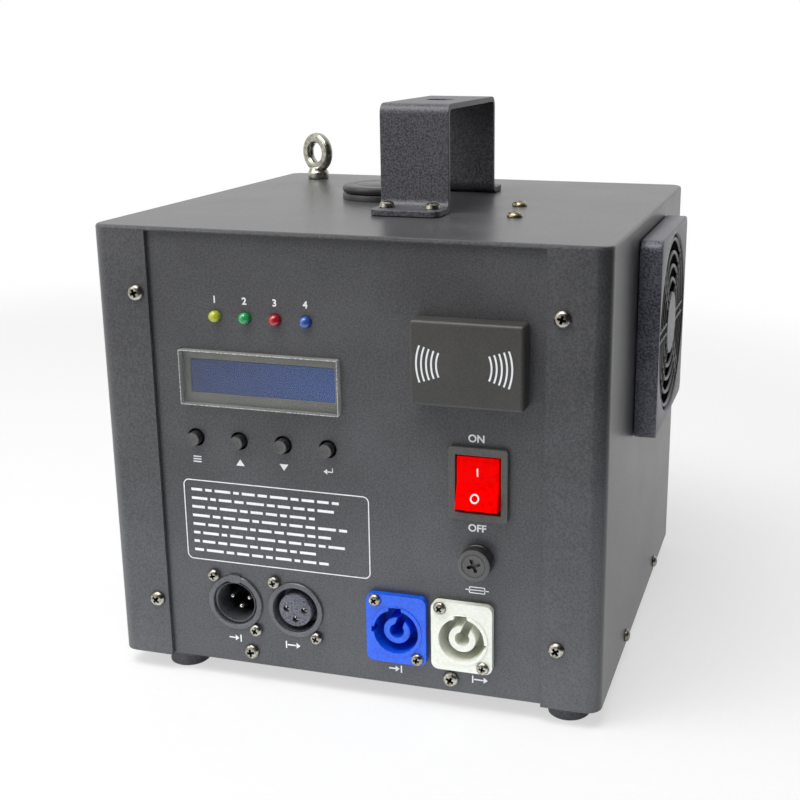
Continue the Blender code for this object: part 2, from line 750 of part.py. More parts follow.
def handle_screws():
    names = ("front_left", "front_right", "rear_left", "rear_right")
    for name, (x, y) in zip(names, handle_screw_places()):
        frame = on_top(x, y)
        seat = 2 * SEAT_GAP + HANDLE_STRAP
        head_top = seat + SCREW_HEAD_HEIGHT
        profile = [
            (0, head_top),
            (SCREW_HEAD_RADIUS * 0.6, head_top - 0.0002),
            (SCREW_HEAD_RADIUS * 0.9, head_top - 0.0009),
            (SCREW_HEAD_RADIUS, seat),
            (SCREW_RADIUS, seat),
            (SCREW_RADIUS, seat - SCREW_LENGTH),
            (0, seat - SCREW_LENGTH),
        ]
        obj = turned("handle_screw_" + name, profile, frame, sides=12, closed=False)
        for turn in (0, 1):
            size = (SCREW_CROSS_LENGTH, SCREW_CROSS_WIDTH, 2 * SCREW_CROSS_DEPTH)
            if turn:
                size = (SCREW_CROSS_WIDTH, SCREW_CROSS_LENGTH, 2 * SCREW_CROSS_DEPTH)
            cut(obj, block(f"cut_cross_{name}_{turn}", size, (0, 0, head_top), frame, CUTTERS))
        paint(obj, *ZINC)


def eye_ring_height():
    """Height of the ring's centre above the top sheet."""
    return SEAT_GAP + EYE_COLLAR_HEIGHT + EYE_RING_RADIUS + EYE_WIRE_RADIUS * 0.75


def eye_bolt():
    frame = on_top(EYE_X, EYE_Y) @ Matrix.Rotation(EYE_TURN, 4, "Z")
    bottom = SEAT_GAP
    collar_top = bottom + EYE_COLLAR_HEIGHT
    ring_centre = eye_ring_height()
    neck = EYE_WIRE_RADIUS * 1.3
    profile = [
        (0, collar_top + EYE_WIRE_RADIUS),
        (neck, collar_top),
        (EYE_COLLAR_RADIUS - 0.0006, collar_top - 0.0004),
        (EYE_COLLAR_RADIUS, collar_top - 0.0012),
        (EYE_COLLAR_RADIUS, bottom),
        (EYE_SHANK_RADIUS, bottom),
        (EYE_SHANK_RADIUS, bottom - EYE_SHANK_LENGTH),
        (0, bottom - EYE_SHANK_LENGTH),
    ]
    obj = turned("eye_bolt", profile, frame, sides=16, closed=False)
    wire = [(EYE_RING_RADIUS + x, -y) for x, y in circle_points(EYE_WIRE_RADIUS, 8)]
    ring_frame = frame @ Matrix.Translation((0, 0, ring_centre)) @ Matrix.Rotation(math.pi / 2, 4, "X")
    join(obj, turned("join_eye_ring", wire, ring_frame, CUTTERS, 24))
    return paint(soften(obj), *ZINC)


def eye_bolt_nut():
    top = -SHEET - SEAT_GAP
    frame = on_top(EYE_X, EYE_Y)
    loops = [circle_points(EYE_NUT_RADIUS, 6), circle_points(EYE_SHANK_RADIUS + RUNNING_GAP, 16)]
    obj = flat_outline("eye_bolt_nut", loops, top - EYE_NUT_HEIGHT, top, frame)
    return paint(obj, *ZINC)


# Hopper and feed
def hopper():
    """Funnel hung in the top sheet by its collar, its spout resting on the feed barrel."""
    collar_top = SEAT_GAP + HOPPER_COLLAR_HEIGHT
    straight_end = -HOPPER_STRAIGHT
    cone_end = straight_end - HOPPER_CONE
    spout_end = FEED_Z - CASE_HEIGHT
    inner = HOPPER_RADIUS - HOPPER_WALL
    spout_inner = HOPPER_SPOUT_RADIUS - HOPPER_WALL
    profile = [
        (HOPPER_COLLAR_RADIUS - 0.0004, collar_top),
        (HOPPER_COLLAR_RADIUS, collar_top - 0.0004),
        (HOPPER_COLLAR_RADIUS, SEAT_GAP),
        (HOPPER_RADIUS, SEAT_GAP),
        (HOPPER_RADIUS, straight_end),
        (HOPPER_SPOUT_RADIUS, cone_end),
        (HOPPER_SPOUT_RADIUS, spout_end),
        (spout_inner, spout_end),
        (spout_inner, cone_end),
        (inner, straight_end),
        (inner, collar_top),
    ]
    obj = turned("hopper", profile, on_top(HOPPER_X, HOPPER_Y), sides=24)
    across = barrel_frame(HOPPER_Y)
    saddle = rod("cut_hopper_saddle", BARREL_RADIUS + SEAT_GAP, -0.03, 0.03, across, CUTTERS, 20)
    cut(obj, saddle)
    return paint(soften(obj), *STEEL)


def hopper_cap():
    """Low lid with a plug skirt inside the hopper's neck."""
    under = SEAT_GAP + HOPPER_COLLAR_HEIGHT + SEAT_GAP
    top = under + CAP_THICKNESS
    skirt = HOPPER_RADIUS - HOPPER_WALL - RUNNING_GAP
    profile = [
        (0, top),
        (CAP_RADIUS - CAP_EDGE, top),
        (CAP_RADIUS, top - CAP_EDGE),
        (CAP_RADIUS, under + CAP_EDGE / 2),
        (CAP_RADIUS - CAP_EDGE / 2, under),
        (skirt, under),
        (skirt, under - CAP_SKIRT),
        (skirt - CAP_WALL, under - CAP_SKIRT),
        (skirt - CAP_WALL, under + CAP_THICKNESS / 2),
        (0, under + CAP_THICKNESS / 2),
    ]
    frame = on_top(HOPPER_X, HOPPER_Y)
    obj = turned("hopper_cap", profile, frame, sides=28, closed=False)
    return pivot(paint(soften(obj), *BLACK_PLASTIC), frame)


def barrel_frame(y):
    """Frame on the feed screw's axis: local Z runs to the back."""
    return on_case(HOPPER_X, y, FEED_Z) @ Matrix.Rotation(-math.pi / 2, 4, "X")


def feed_barrel():
    """Tube from the bracket to the chamber, closed at the front by a bearing wall, with a port on top."""
    length = BARREL_END_Y - BARREL_START_Y
    bore = BARREL_RADIUS - BARREL_WALL
    bearing = SCREW_SHAFT_RADIUS + RUNNING_GAP
    profile = [
        (BARREL_RADIUS, length),
        (BARREL_RADIUS, BARREL_FLANGE),
        (BARREL_FLANGE_RADIUS, BARREL_FLANGE),
        (BARREL_FLANGE_RADIUS, 0),
        (bearing, 0),
        (bearing, BARREL_FLANGE),
        (bore, BARREL_FLANGE),
        (bore, length),
    ]
    obj = turned("feed_barrel", profile, barrel_frame(BARREL_START_Y), sides=20)
    port_radius = HOPPER_SPOUT_RADIUS - HOPPER_WALL
    port_frame = on_case(HOPPER_X, HOPPER_Y, FEED_Z)
    cut(obj, rod("cut_barrel_port", port_radius, 0, BARREL_PORT, port_frame, CUTTERS))
    return paint(soften(obj), *STEEL)


def flight_mesh(frame, start):
    """Spiral blade of the feed screw as a closed ribbon."""
    bm = bmesh.new()
    root = SCREW_SHAFT_RADIUS * 0.6
    corners = [(FLIGHT_RADIUS, FLIGHT_THICKNESS), (FLIGHT_RADIUS, 0), (root, 0), (root, FLIGHT_THICKNESS)]
    steps_per_turn = 8
    rings = []
    for i in range(FLIGHT_TURNS * steps_per_turn + 1):
        angle = 2 * math.pi * i / steps_per_turn
        lift = start + FLIGHT_PITCH * i / steps_per_turn
        turn = Matrix.Rotation(angle, 4, "Z")
        rings.append([bm.verts.new(turn @ Vector((radius, 0, height + lift))) for radius, height in corners])
    for ring, following in zip(rings, rings[1:]):
        for i in range(4):
            j = (i + 1) % 4
            bm.faces.new((ring[i], ring[j], following[j], following[i]))
    bm.faces.new(reversed(rings[0]))
    bm.faces.new(rings[-1])
    bmesh.ops.recalc_face_normals(bm, faces=bm.faces[:])
    return from_bmesh("join_flight", bm, frame, CUTTERS)


def feed_screw():
    """Shaft with a spiral blade, carried by the barrel's front wall and driven by its gear."""
    frame = barrel_frame(BARREL_START_Y)
    front = -(BRACKET_THICKNESS + SEAT_GAP + GEAR_OFFSET + GEAR_WIDTH)
    flight_start = BARREL_FLANGE + 0.002
    flight_end = flight_start + FLIGHT_LENGTH + FLIGHT_THICKNESS
    obj = rod("feed_screw", SCREW_SHAFT_RADIUS, front, flight_end + FEED_TAIL, frame, sides=10)
    join(obj, flight_mesh(frame, flight_start))
    return pivot(paint(obj, *STEEL), frame)


def gear_outline(teeth, phase):
    """Straight sided teeth, a little thinner than their gaps."""
    pitch = GEAR_MODULE * teeth / 2
    tip = pitch + 0.85 * GEAR_MODULE
    root = pitch - 1.15 * GEAR_MODULE
    step = 2 * math.pi / teeth
    points = []
    for i in range(teeth):
        middle = phase + i * step
        for share, radius in ((-0.29, root), (-0.11, tip), (0.11, tip), (0.29, root)):
            angle = middle + share * step
            points.append((radius * math.cos(angle), radius * math.sin(angle)))
    return points


def gears():
    """Motor gear below and screw gear above, in mesh in front of the bracket."""
    high = -(BRACKET_THICKNESS + SEAT_GAP + GEAR_OFFSET)
    low = high - GEAR_WIDTH
    bore = circle_points(SCREW_SHAFT_RADIUS + RUNNING_GAP, 10)
    upper_frame = barrel_frame(BARREL_START_Y)
    lower_frame = upper_frame @ Matrix.Translation((0, GEAR_DISTANCE, 0))
    half_step = math.pi / SCREW_GEAR_TEETH
    screw_gear = flat_outline(
        "screw_gear", [gear_outline(SCREW_GEAR_TEETH, math.pi / 2 + half_step), bore], low, high, upper_frame
    )
    drive_gear = flat_outline(
        "drive_gear", [gear_outline(DRIVE_TEETH, -math.pi / 2), bore], low, high, lower_frame
    )
    pivot(paint(screw_gear, *BLACK_PLASTIC), upper_frame)
    pivot(paint(drive_gear, *ZINC), lower_frame)


def motor_frame():
    return barrel_frame(BARREL_START_Y) @ Matrix.Translation((0, GEAR_DISTANCE, 0))


def feed_motor():
    """Geared motor under the barrel; its shaft passes the bracket and carries the drive gear."""
    frame = motor_frame()
    front = -(BRACKET_THICKNESS + SEAT_GAP + GEAR_OFFSET + GEAR_WIDTH)
    nose = MOTOR_LENGTH * 0.45
    profile = [
        (0, MOTOR_LENGTH),
        (MOTOR_RADIUS - 0.0016, MOTOR_LENGTH),
        (MOTOR_RADIUS - 0.0010, MOTOR_LENGTH - 0.001),
        (MOTOR_RADIUS - 0.0010, nose),
        (MOTOR_RADIUS, nose),
        (MOTOR_RADIUS, 0),
        (MOTOR_SHAFT_RADIUS, 0),
        (MOTOR_SHAFT_RADIUS, front),
        (0, front),
    ]
    obj = turned("feed_motor", profile, frame, sides=16, closed=False)
    return paint(soften(obj), *STEEL)


def feed_bracket():
    """Upright plate with a foot, carrying the barrel's flange and the motor."""
    y = BARREL_START_Y - SEAT_GAP - BRACKET_THICKNESS / 2
    bottom = FLOOR_Z + SEAT_GAP
    height = BRACKET_TOP - bottom
    frame = on_case(HOPPER_X, 0, 0)
    upright = (BRACKET_WIDTH, BRACKET_THICKNESS, height)
    obj = block("feed_bracket", upright, (0, y, bottom + height / 2), frame)
    foot_centre = (0, y + BRACKET_FOOT / 2, bottom + BRACKET_THICKNESS / 2)
    foot = (BRACKET_WIDTH, BRACKET_FOOT, BRACKET_THICKNESS)
    join(obj, block("join_bracket_foot", foot, foot_centre, frame, CUTTERS))
    cut(obj, rod("cut_bracket_screw", SCREW_SHAFT_RADIUS + 0.001, -0.01, 0.01, barrel_frame(y), CUTTERS, 16))
    motor_hole = barrel_frame(y) @ Matrix.Translation((0, GEAR_DISTANCE, 0))
    cut(obj, rod("cut_bracket_motor", MOTOR_SHAFT_RADIUS + 0.001, -0.01, 0.01, motor_hole, CUTTERS, 16))
    return paint(obj, *ZINC)


# Chamber, heater, nozzle and blower
def spark_chamber():
    frame = on_case(HOPPER_X, OUTLET_Y, 0)
    low = BLOWER_TOP + SEAT_GAP
    high = CASE_HEIGHT + SEAT_GAP - NOZZLE_DEPTH - SEAT_GAP
    obj = tube("spark_chamber", CHAMBER_RADIUS, CHAMBER_RADIUS - CHAMBER_WALL, low, high, frame)
    along = barrel_frame(OUTLET_Y)
    inlet = rod("cut_chamber_inlet", BARREL_RADIUS + SEAT_GAP, -CHAMBER_RADIUS * 1.5, 0, along, CUTTERS)
    cut(obj, inlet)
    return paint(soften(obj), *STEEL)


def heater_sleeve():
    frame = on_case(HOPPER_X, OUTLET_Y, 0)
    bore = CHAMBER_RADIUS + SEAT_GAP
    obj = tube("heater_sleeve", bore + HEATER_THICKNESS, bore, HEATER_BOTTOM, HEATER_TOP, frame)
    return paint(soften(obj), (0.45, 0.42, 0.36), 0.7)


def outlet_nozzle():
    """Ring in the top sheet that ends the spark tube."""
    profile = [
        (NOZZLE_BORE + 0.0008, SEAT_GAP + NOZZLE_FLANGE),
        (NOZZLE_FLANGE_RADIUS - 0.0005, SEAT_GAP + NOZZLE_FLANGE),
        (NOZZLE_FLANGE_RADIUS, SEAT_GAP + NOZZLE_FLANGE - 0.0005),
        (NOZZLE_FLANGE_RADIUS, SEAT_GAP),
        (NOZZLE_RADIUS, SEAT_GAP),
        (NOZZLE_RADIUS, SEAT_GAP - NOZZLE_DEPTH),
        (NOZZLE_BORE, SEAT_GAP - NOZZLE_DEPTH),
        (NOZZLE_BORE, SEAT_GAP + NOZZLE_FLANGE - 0.0008),
    ]
    obj = turned("outlet_nozzle", profile, on_top(HOPPER_X, OUTLET_Y), sides=20)
    return paint(soften(obj), *STEEL)


def blower_frame():
    """Frame on the blower's axis: local Z runs to the right, local X down, local Y to the back."""
    return on_case(HOPPER_X, BLOWER_AXIS_Y, BLOWER_AXIS_Z) @ Matrix.Rotation(math.pi / 2, 4, "Y")


def blower_housing():
    """Scroll on a plinth, open on the right for air and open at the top under the chamber."""
    frame = blower_frame()
    half = BLOWER_WIDTH / 2
    obj = rod("blower_housing", BLOWER_RADIUS, -half, half, frame, sides=28)
    duct_height = BLOWER_TOP - BLOWER_AXIS_Z
    duct_centre = (-duct_height / 2, BLOWER_OFFSET, 0)
    join(obj, block("join_duct", (duct_height, BLOWER_DUCT, BLOWER_WIDTH), duct_centre, frame, CUTTERS))
    plinth_x = BLOWER_AXIS_Z - FLOOR_Z - SEAT_GAP - BLOWER_PLINTH_HEIGHT / 2
    plinth = (BLOWER_PLINTH_HEIGHT, BLOWER_PLINTH_LENGTH, BLOWER_WIDTH * 0.8)
    join(obj, block("join_plinth", plinth, (plinth_x, 0, 0), frame, CUTTERS))
    inside = half - BLOWER_WALL
    cut(obj, rod("cut_scroll", BLOWER_RADIUS - BLOWER_WALL, -inside, inside, frame, CUTTERS, 28))
    duct = (duct_height + 0.01, BLOWER_DUCT - 2 * BLOWER_WALL, BLOWER_WIDTH - 2 * BLOWER_WALL - 0.0004)
    cut(obj, block("cut_duct", duct, (-duct_height / 2 - 0.005, BLOWER_OFFSET, 0), frame, CUTTERS))
    cut(obj, rod("cut_blower_inlet", BLOWER_INLET_RADIUS, 0, BLOWER_WIDTH, frame, CUTTERS, 20))
    low, high = -half + BLOWER_WALL / 2, half - BLOWER_WALL * 3
    join(obj, rod("join_blower_axle", AXLE_RADIUS, low, high, frame, CUTTERS, 10))
    return paint(soften(obj), *BLACK_PLASTIC)


def blower_impeller():
    """Squirrel cage wheel on the housing's axle."""
    frame = blower_frame()
    low = -BLOWER_WIDTH / 2 + BLOWER_WALL + 0.0015
    high = low + IMPELLER_LENGTH
    bore = AXLE_RADIUS + RUNNING_GAP
    obj = tube("blower_impeller", IMPELLER_RADIUS, bore, low, low + IMPELLER_DISC, frame, sides=20)
    hub_low, hub_high = low + IMPELLER_DISC / 2, high * 0.6
    join(obj, tube("join_impeller_hub", IMPELLER_HUB_RADIUS, bore, hub_low, hub_high, frame, CUTTERS, 10))
    for i in range(IMPELLER_BLADES):
        turn = frame @ Matrix.Rotation(2 * math.pi * i / IMPELLER_BLADES, 4, "Z")
        size = (IMPELLER_BLADE_DEPTH, IMPELLER_BLADE, IMPELLER_LENGTH - IMPELLER_DISC)
        radius = IMPELLER_RADIUS - IMPELLER_BLADE_DEPTH / 2 - 0.0006
        centre = (radius, 0, (low + high) / 2)
        join(obj, block(f"join_impeller_blade_{i}", size, centre, turn, CUTTERS))
    rim_low = high - IMPELLER_DISC
    rim_bore = IMPELLER_RADIUS - 0.003
    join(obj, tube("join_impeller_rim", IMPELLER_RADIUS, rim_bore, rim_low, high, frame, CUTTERS, 20))
    return pivot(paint(obj, *BLACK_PLASTIC), frame)


# Fans
def fan_frame(side, word):
    """Square fan frame behind the side wall, with the hub's carrier on four struts at the inner face."""
    frame = on_side(side)
    outer = -SHEET - SEAT_GAP
    inner = outer - FAN_THICKNESS
    size = (FAN_SIZE, FAN_SIZE, FAN_THICKNESS)
    obj = block(word + "_fan_frame", size, (0, 0, (outer + inner) / 2), frame, None, FAN_CORNER)
    cut(obj, rod(f"cut_{word}_fan_bore", FAN_BORE_RADIUS, inner - 0.01, outer + 0.01, frame, CUTTERS, 24))
    for i in range(2):
        turn = frame @ Matrix.Rotation(math.pi / 4 + i * math.pi / 2, 4, "Z")
        bar = (2 * FAN_BORE_RADIUS + 0.002, FAN_STRUT, FAN_HUB_THICKNESS - 0.0006)
        centre = (0, 0, inner + FAN_HUB_THICKNESS / 2)
        join(obj, block(f"join_{word}_strut_{i}", bar, centre, turn, CUTTERS))
    outer = inner + FAN_HUB_THICKNESS
    join(obj, rod(f"join_{word}_carrier", FAN_HUB_RADIUS, inner, outer, frame, CUTTERS, 16))
    axle_end = inner + FAN_HUB_THICKNESS + FAN_ROTOR_LENGTH * 0.7
    join(obj, rod(f"join_{word}_axle", AXLE_RADIUS, inner + 0.001, axle_end, frame, CUTTERS, 10))
    return paint(obj, *BLACK_PLASTIC)


def fan_rotor(side, word):
    """Hub with pitched blades, blind bored to run on the frame's axle."""
    frame = on_side(side)
    low = -SHEET - SEAT_GAP - FAN_THICKNESS + FAN_HUB_THICKNESS + RUNNING_GAP
    high = low + FAN_ROTOR_LENGTH
    bore = AXLE_RADIUS + RUNNING_GAP
    bore_end = low + FAN_ROTOR_LENGTH * 0.7 + RUNNING_GAP
    profile = [
        (0, high),
        (FAN_HUB_RADIUS - 0.001, high),
        (FAN_HUB_RADIUS, high - 0.001),
        (FAN_HUB_RADIUS, low),
        (bore, low),
        (bore, bore_end),
        (0, bore_end),
    ]
    obj = turned(word + "_fan_rotor", profile, frame, sides=20, closed=False)
    reach = FAN_BLADE_TIP - FAN_HUB_RADIUS + 0.002
    for i in range(FAN_BLADES):
        turn = frame @ Matrix.Rotation(2 * math.pi * i / FAN_BLADES, 4, "Z")
        pitch = Matrix.Translation((FAN_BLADE_TIP - reach / 2, 0, (low + high) / 2))
        pitch = pitch @ Matrix.Rotation(side * FAN_BLADE_ANGLE, 4, "X")
        size = (reach, FAN_BLADE_WIDTH, FAN_BLADE_THICKNESS)
        join(obj, block(f"join_{word}_blade_{i}", size, (0, 0, 0), turn @ pitch, CUTTERS))
    return pivot(paint(obj, *BLACK_PLASTIC), frame)


def fan_guard(side, word):
    """Square plastic guard outside the wall: frame, four rings, a hub and double diagonal spokes."""
    frame = on_side(side)
    face = SEAT_GAP + GUARD_DEPTH
    size = (GUARD_SIZE, GUARD_SIZE, GUARD_DEPTH)
    obj = block(word + "_fan_guard", size, (0, 0, SEAT_GAP + GUARD_DEPTH / 2), frame, None, GUARD_CORNER, 2, 2)
    cut(obj, rod(f"cut_{word}_guard_bore", GUARD_BORE_RADIUS, -0.01, 0.02, frame, CUTTERS, 24))
    spoke_top = face - GUARD_FACE_DROP
    spoke_middle = spoke_top - GUARD_SPOKE_DEPTH / 2
    for i in range(2):
        turn = frame @ Matrix.Rotation(math.pi / 4 + i * math.pi / 2, 4, "Z")
        for shift in (-0.5, 0.5):
            bar = (2 * GUARD_BORE_RADIUS + 0.002, GUARD_SPOKE, GUARD_SPOKE_DEPTH)
            centre = (0, shift * GUARD_SPOKE_PITCH, spoke_middle)
            join(obj, block(f"join_{word}_spoke_{i}_{shift}", bar, centre, turn, CUTTERS))
    hub_low = face - GUARD_RING_DEPTH - 0.0004
    join(obj, rod(f"join_{word}_guard_hub", GUARD_HUB_RADIUS, hub_low, face - 0.0002, frame, CUTTERS, 16))
    for i in range(GUARD_RINGS):
        bore = GUARD_FIRST_RING + i * GUARD_RING_PITCH
        low = face - GUARD_FACE_DROP - GUARD_RING_DEPTH
        high = face - GUARD_FACE_DROP + 0.0003
        edge = bore + GUARD_RING_WIDTH
        ring = tube(f"join_{word}_guard_ring_{i}", edge, bore, low, high, frame, CUTTERS, 20)
        join(obj, ring)
    return paint(obj, *BLACK_PLASTIC)


# Front panel pieces
def lcd_window():
    """Clear raised cover that fills the display opening."""
    back = -PANEL_THICKNESS
    size = (LCD_WIDTH, LCD_HEIGHT, LCD_PROUD - back)
    obj = block("lcd_window", size, (0, 0, (LCD_PROUD + back) / 2), on_front(LCD_X, LCD_Z))
    edges = obj.modifiers.new("edges", "BEVEL")
    edges.width = 0.0004
    edges.segments = 1
    return paint(obj, (0.8, 0.85, 0.9), 0.05, 0.0, 0.3)


def lcd_module():
    """Display in its metal bezel on a board, held to the panel by four posts."""
    frame = on_front(LCD_X, LCD_Z)
    bezel_front = -PANEL_THICKNESS - SEAT_GAP
    bezel_back = bezel_front - LCD_BEZEL_DEPTH
    board_back = bezel_back - BOARD_THICKNESS
    bezel = (LCD_WIDTH, LCD_HEIGHT + 0.0006, LCD_BEZEL_DEPTH)
    obj = block("lcd_module", bezel, (0, 0, (bezel_front + bezel_back) / 2), frame)
    board = (LCD_BOARD_WIDTH, LCD_BOARD_HEIGHT, BOARD_THICKNESS * 1.2)
    join(obj, block("join_lcd_board", board, (0, 0, (bezel_back + board_back) / 2), frame, CUTTERS))
    for i in (-1, 1):
        for j in (-1, 1):
            offset = (i * (LCD_BOARD_WIDTH / 2 - POST_INSET), j * (LCD_BOARD_HEIGHT / 2 - POST_INSET))
            name = f"join_lcd_post_{i}_{j}"
            post = rod(name, POST_RADIUS, board_back + OVERLAP, bezel_front, frame, CUTTERS, 8, offset)
            join(obj, post)
    return paint(obj, (0.02, 0.03, 0.25), 0.3)


def push_buttons():
    for number, name in enumerate(BUTTON_NAMES):
        frame = on_front(BUTTON_X + number * BUTTON_PITCH, BUTTON_Z)
        back = BUTTON_PROUD - BUTTON_LENGTH
        profile = [
            (0, BUTTON_PROUD),
            (BUTTON_RADIUS - 0.0004, BUTTON_PROUD),
            (BUTTON_RADIUS, BUTTON_PROUD - 0.0004),
            (BUTTON_RADIUS, back),
            (BUTTON_STEM_RADIUS, back),
            (BUTTON_STEM_RADIUS, back - BUTTON_TRAVEL - BUTTON_STEM),
            (0, back - BUTTON_TRAVEL - BUTTON_STEM),
        ]
        obj = turned(name, profile, frame, sides=14, closed=False)
        pivot(paint(soften(obj), *BLACK_PLASTIC), frame)


def button_board():
    """Board with one small switch under each button, held to the panel by posts between them."""
    centre_x = BUTTON_X + 1.5 * BUTTON_PITCH
    frame = on_front(centre_x, BUTTON_Z)
    switch_front = BUTTON_PROUD - BUTTON_LENGTH - BUTTON_TRAVEL - 0.0002
    board_front = switch_front - SWITCH_BODY_DEPTH
    board_back = board_front - BOARD_THICKNESS
    length = (len(BUTTON_NAMES) - 1) * BUTTON_PITCH + 2 * BUTTON_BOARD_MARGIN
    size = (length, BUTTON_BOARD_HEIGHT, BOARD_THICKNESS)
    obj = block("button_board", size, (0, 0, (board_front + board_back) / 2), frame)
    for i in range(len(BUTTON_NAMES)):
        x = (i - 1.5) * BUTTON_PITCH
        size = (SWITCH_BODY, SWITCH_BODY, SWITCH_BODY_DEPTH + OVERLAP)
        join(obj, block(f"join_tact_{i}", size, (x, 0, switch_front - size[2] / 2), frame, CUTTERS))
        radius = BUTTON_STEM_RADIUS + RUNNING_GAP
        depth = BUTTON_TRAVEL + BUTTON_STEM + OVERLAP
        low, high = switch_front - depth, switch_front + 0.001
        cut(obj, rod(f"cut_tact_{i}", radius, low, high, frame, CUTTERS, 8, (x, 0)))
    for i in (-1, 1):
        offset = (i * BUTTON_PITCH, 0)
        low, high = board_back + OVERLAP, -PANEL_THICKNESS - SEAT_GAP
        post = rod(f"join_button_post_{i}", POST_RADIUS, low, high, frame, CUTTERS, 8, offset)
        join(obj, post)
    return paint(obj, *BOARD_GREEN)


def indicator_lamps():
    colours = ((0.45, 0.55, 0.05), (0.02, 0.35, 0.10), (0.35, 0.02, 0.03), (0.02, 0.06, 0.35))
    for number, (name, colour) in enumerate(zip(LED_NAMES, colours)):
        frame = on_front(LED_X + number * LED_PITCH, LED_Z)
        profile = []
        for i in range(4):
            angle = math.radians(90 - 30 * i)
            height = LED_PROUD - LED_RADIUS + LED_RADIUS * math.sin(angle)
            profile.append((LED_RADIUS * math.cos(angle), height))
        rim_top = -PANEL_THICKNESS - SEAT_GAP
        rim = LED_HOLE_RADIUS + LED_RIM
        profile += [(LED_RADIUS, rim_top), (rim, rim_top), (rim, rim_top - 0.001)]
        back = LED_PROUD - LED_LENGTH
        profile += [(LED_RADIUS, rim_top - 0.001), (LED_RADIUS, back), (0, back)]
        obj = turned(name, profile, frame, sides=12, closed=False)
        paint(soften(obj), colour, 0.15)


def remote_receiver():
    """Hollow radio box on the panel's face, open at its back."""
    frame = on_front(REMOTE_X, REMOTE_Z)
    back = SEAT_GAP
    size = (REMOTE_WIDTH, REMOTE_HEIGHT, REMOTE_PROUD - back)
    bm = cube_bmesh(size, (0, 0, (REMOTE_PROUD + back) / 2))
    front_edges = [edge for edge in bm.edges if not all(vert.co.z < back + 0.0001 for vert in edge.verts)]
    bmesh.ops.bevel(bm, geom=front_edges, offset=REMOTE_EDGE, segments=3, profile=0.5, affect="EDGES")
    obj = from_bmesh("remote_receiver", bm, frame, PARTS)
    inside = (REMOTE_WIDTH - 2 * REMOTE_WALL, REMOTE_HEIGHT - 2 * REMOTE_WALL, REMOTE_PROUD)
    cut(obj, block("cut_remote_inside", inside, (0, 0, REMOTE_PROUD / 2 - REMOTE_WALL), frame, CUTTERS))
    return paint(soften(obj, 25), *BLACK_PLASTIC)


def receiver_board():
    """Small board that stands on the panel inside the radio box."""
    frame = on_front(REMOTE_X, REMOTE_Z)
    margin = REMOTE_WALL + SEAT_GAP
    width = REMOTE_WIDTH - 2 * margin
    height = REMOTE_HEIGHT - 2 * margin
    low = SEAT_GAP + REMOTE_BOARD_DEPTH
    obj = block("receiver_board", (width, height, BOARD_THICKNESS), (0, 0, low + BOARD_THICKNESS / 2), frame)
    foot = (0.004, height * 0.6, REMOTE_BOARD_DEPTH + OVERLAP)
    for i in (-1, 1):
        centre = (i * width * 0.42, 0, SEAT_GAP + foot[2] / 2)
        join(obj, block(f"join_receiver_foot_{i}", foot, centre, frame, CUTTERS))
    return paint(obj, *BOARD_GREEN)


def dmx_shell(name, x, bore, mouth):
    """Connector shell set in the panel from behind: a tapered mouth, a bore and a flange on the panel's back."""
    frame = on_front(x, DMX_Z)
    flange_front = -PANEL_THICKNESS - SEAT_GAP
    profile = [
        (mouth, DMX_PROUD),
        (DMX_SHELL_RADIUS - 0.0004, DMX_PROUD),
        (DMX_SHELL_RADIUS, DMX_PROUD - 0.0004),
        (DMX_SHELL_RADIUS, -DMX_DEPTH),
        (bore, -DMX_DEPTH),
        (bore, DMX_PROUD - DMX_LIP_DEPTH),
    ]
    obj = turned(name, profile, frame, sides=24)
    size = (FLANGE_X_SIZE, FLANGE_Z_SIZE, REAR_FLANGE)
    plate = block("join_flange_" + name, size, (0, 0, flange_front - REAR_FLANGE / 2), frame, CUTTERS, 0.003)
    cut(plate, rod("cut_flange_" + name, (bore + DMX_SHELL_RADIUS) / 2, -0.01, 0.01, frame, CUTTERS, 24))
    join(obj, plate)
    return paint(soften(obj), *BLACK_PLASTIC)


def pin_places():
    places = []
    for angle in (8, 172, 270):
        turn = math.radians(angle)
        places.append((PIN_CIRCLE * math.cos(turn), PIN_CIRCLE * math.sin(turn)))
    return places


def dmx_in_insert():
    """Insulator disc deep in the shell with three contact pins."""
    frame = on_front(DMX_IN_X, DMX_Z)
    radius = DMX_MALE_BORE - SEAT_GAP
    low = -DMX_DEPTH
    high = low + DMX_INSERT_BACK
    obj = rod("dmx_in_insert", radius, low, high, frame, sides=20)
    for number, place in enumerate(pin_places()):
        pin = rod(f"join_pin_{number}", PIN_RADIUS, high - 0.001, high + PIN_LENGTH, frame, CUTTERS, 8, place)
        join(obj, pin)
    return paint(soften(obj), *BLACK_PLASTIC)


def dmx_out_insert():
    """Insulator core with three sockets, standing in the shell on a wider base."""
    frame = on_front(DMX_OUT_X, DMX_Z)
    base = DMX_FEMALE_BORE - SEAT_GAP
    front = -DMX_CORE_SET
    profile = [
        (0, front),
        (DMX_FEMALE_CORE - 0.0004, front),
        (DMX_FEMALE_CORE, front - 0.0004),
        (DMX_FEMALE_CORE, -DMX_DEPTH + DMX_INSERT_BACK),
        (base, -DMX_DEPTH + DMX_INSERT_BACK),
        (base, -DMX_DEPTH),
        (0, -DMX_DEPTH),
    ]
    obj = turned("dmx_out_insert", profile, frame, sides=20, closed=False)
    for number, (x, y) in enumerate(pin_places()):
        low = front - SOCKET_DEPTH
        cut(obj, rod(f"cut_socket_{number}", SOCKET_RADIUS, low, 0.01, frame, CUTTERS, 8, (-x, y)))
    return paint(soften(obj), *BLACK_PLASTIC)


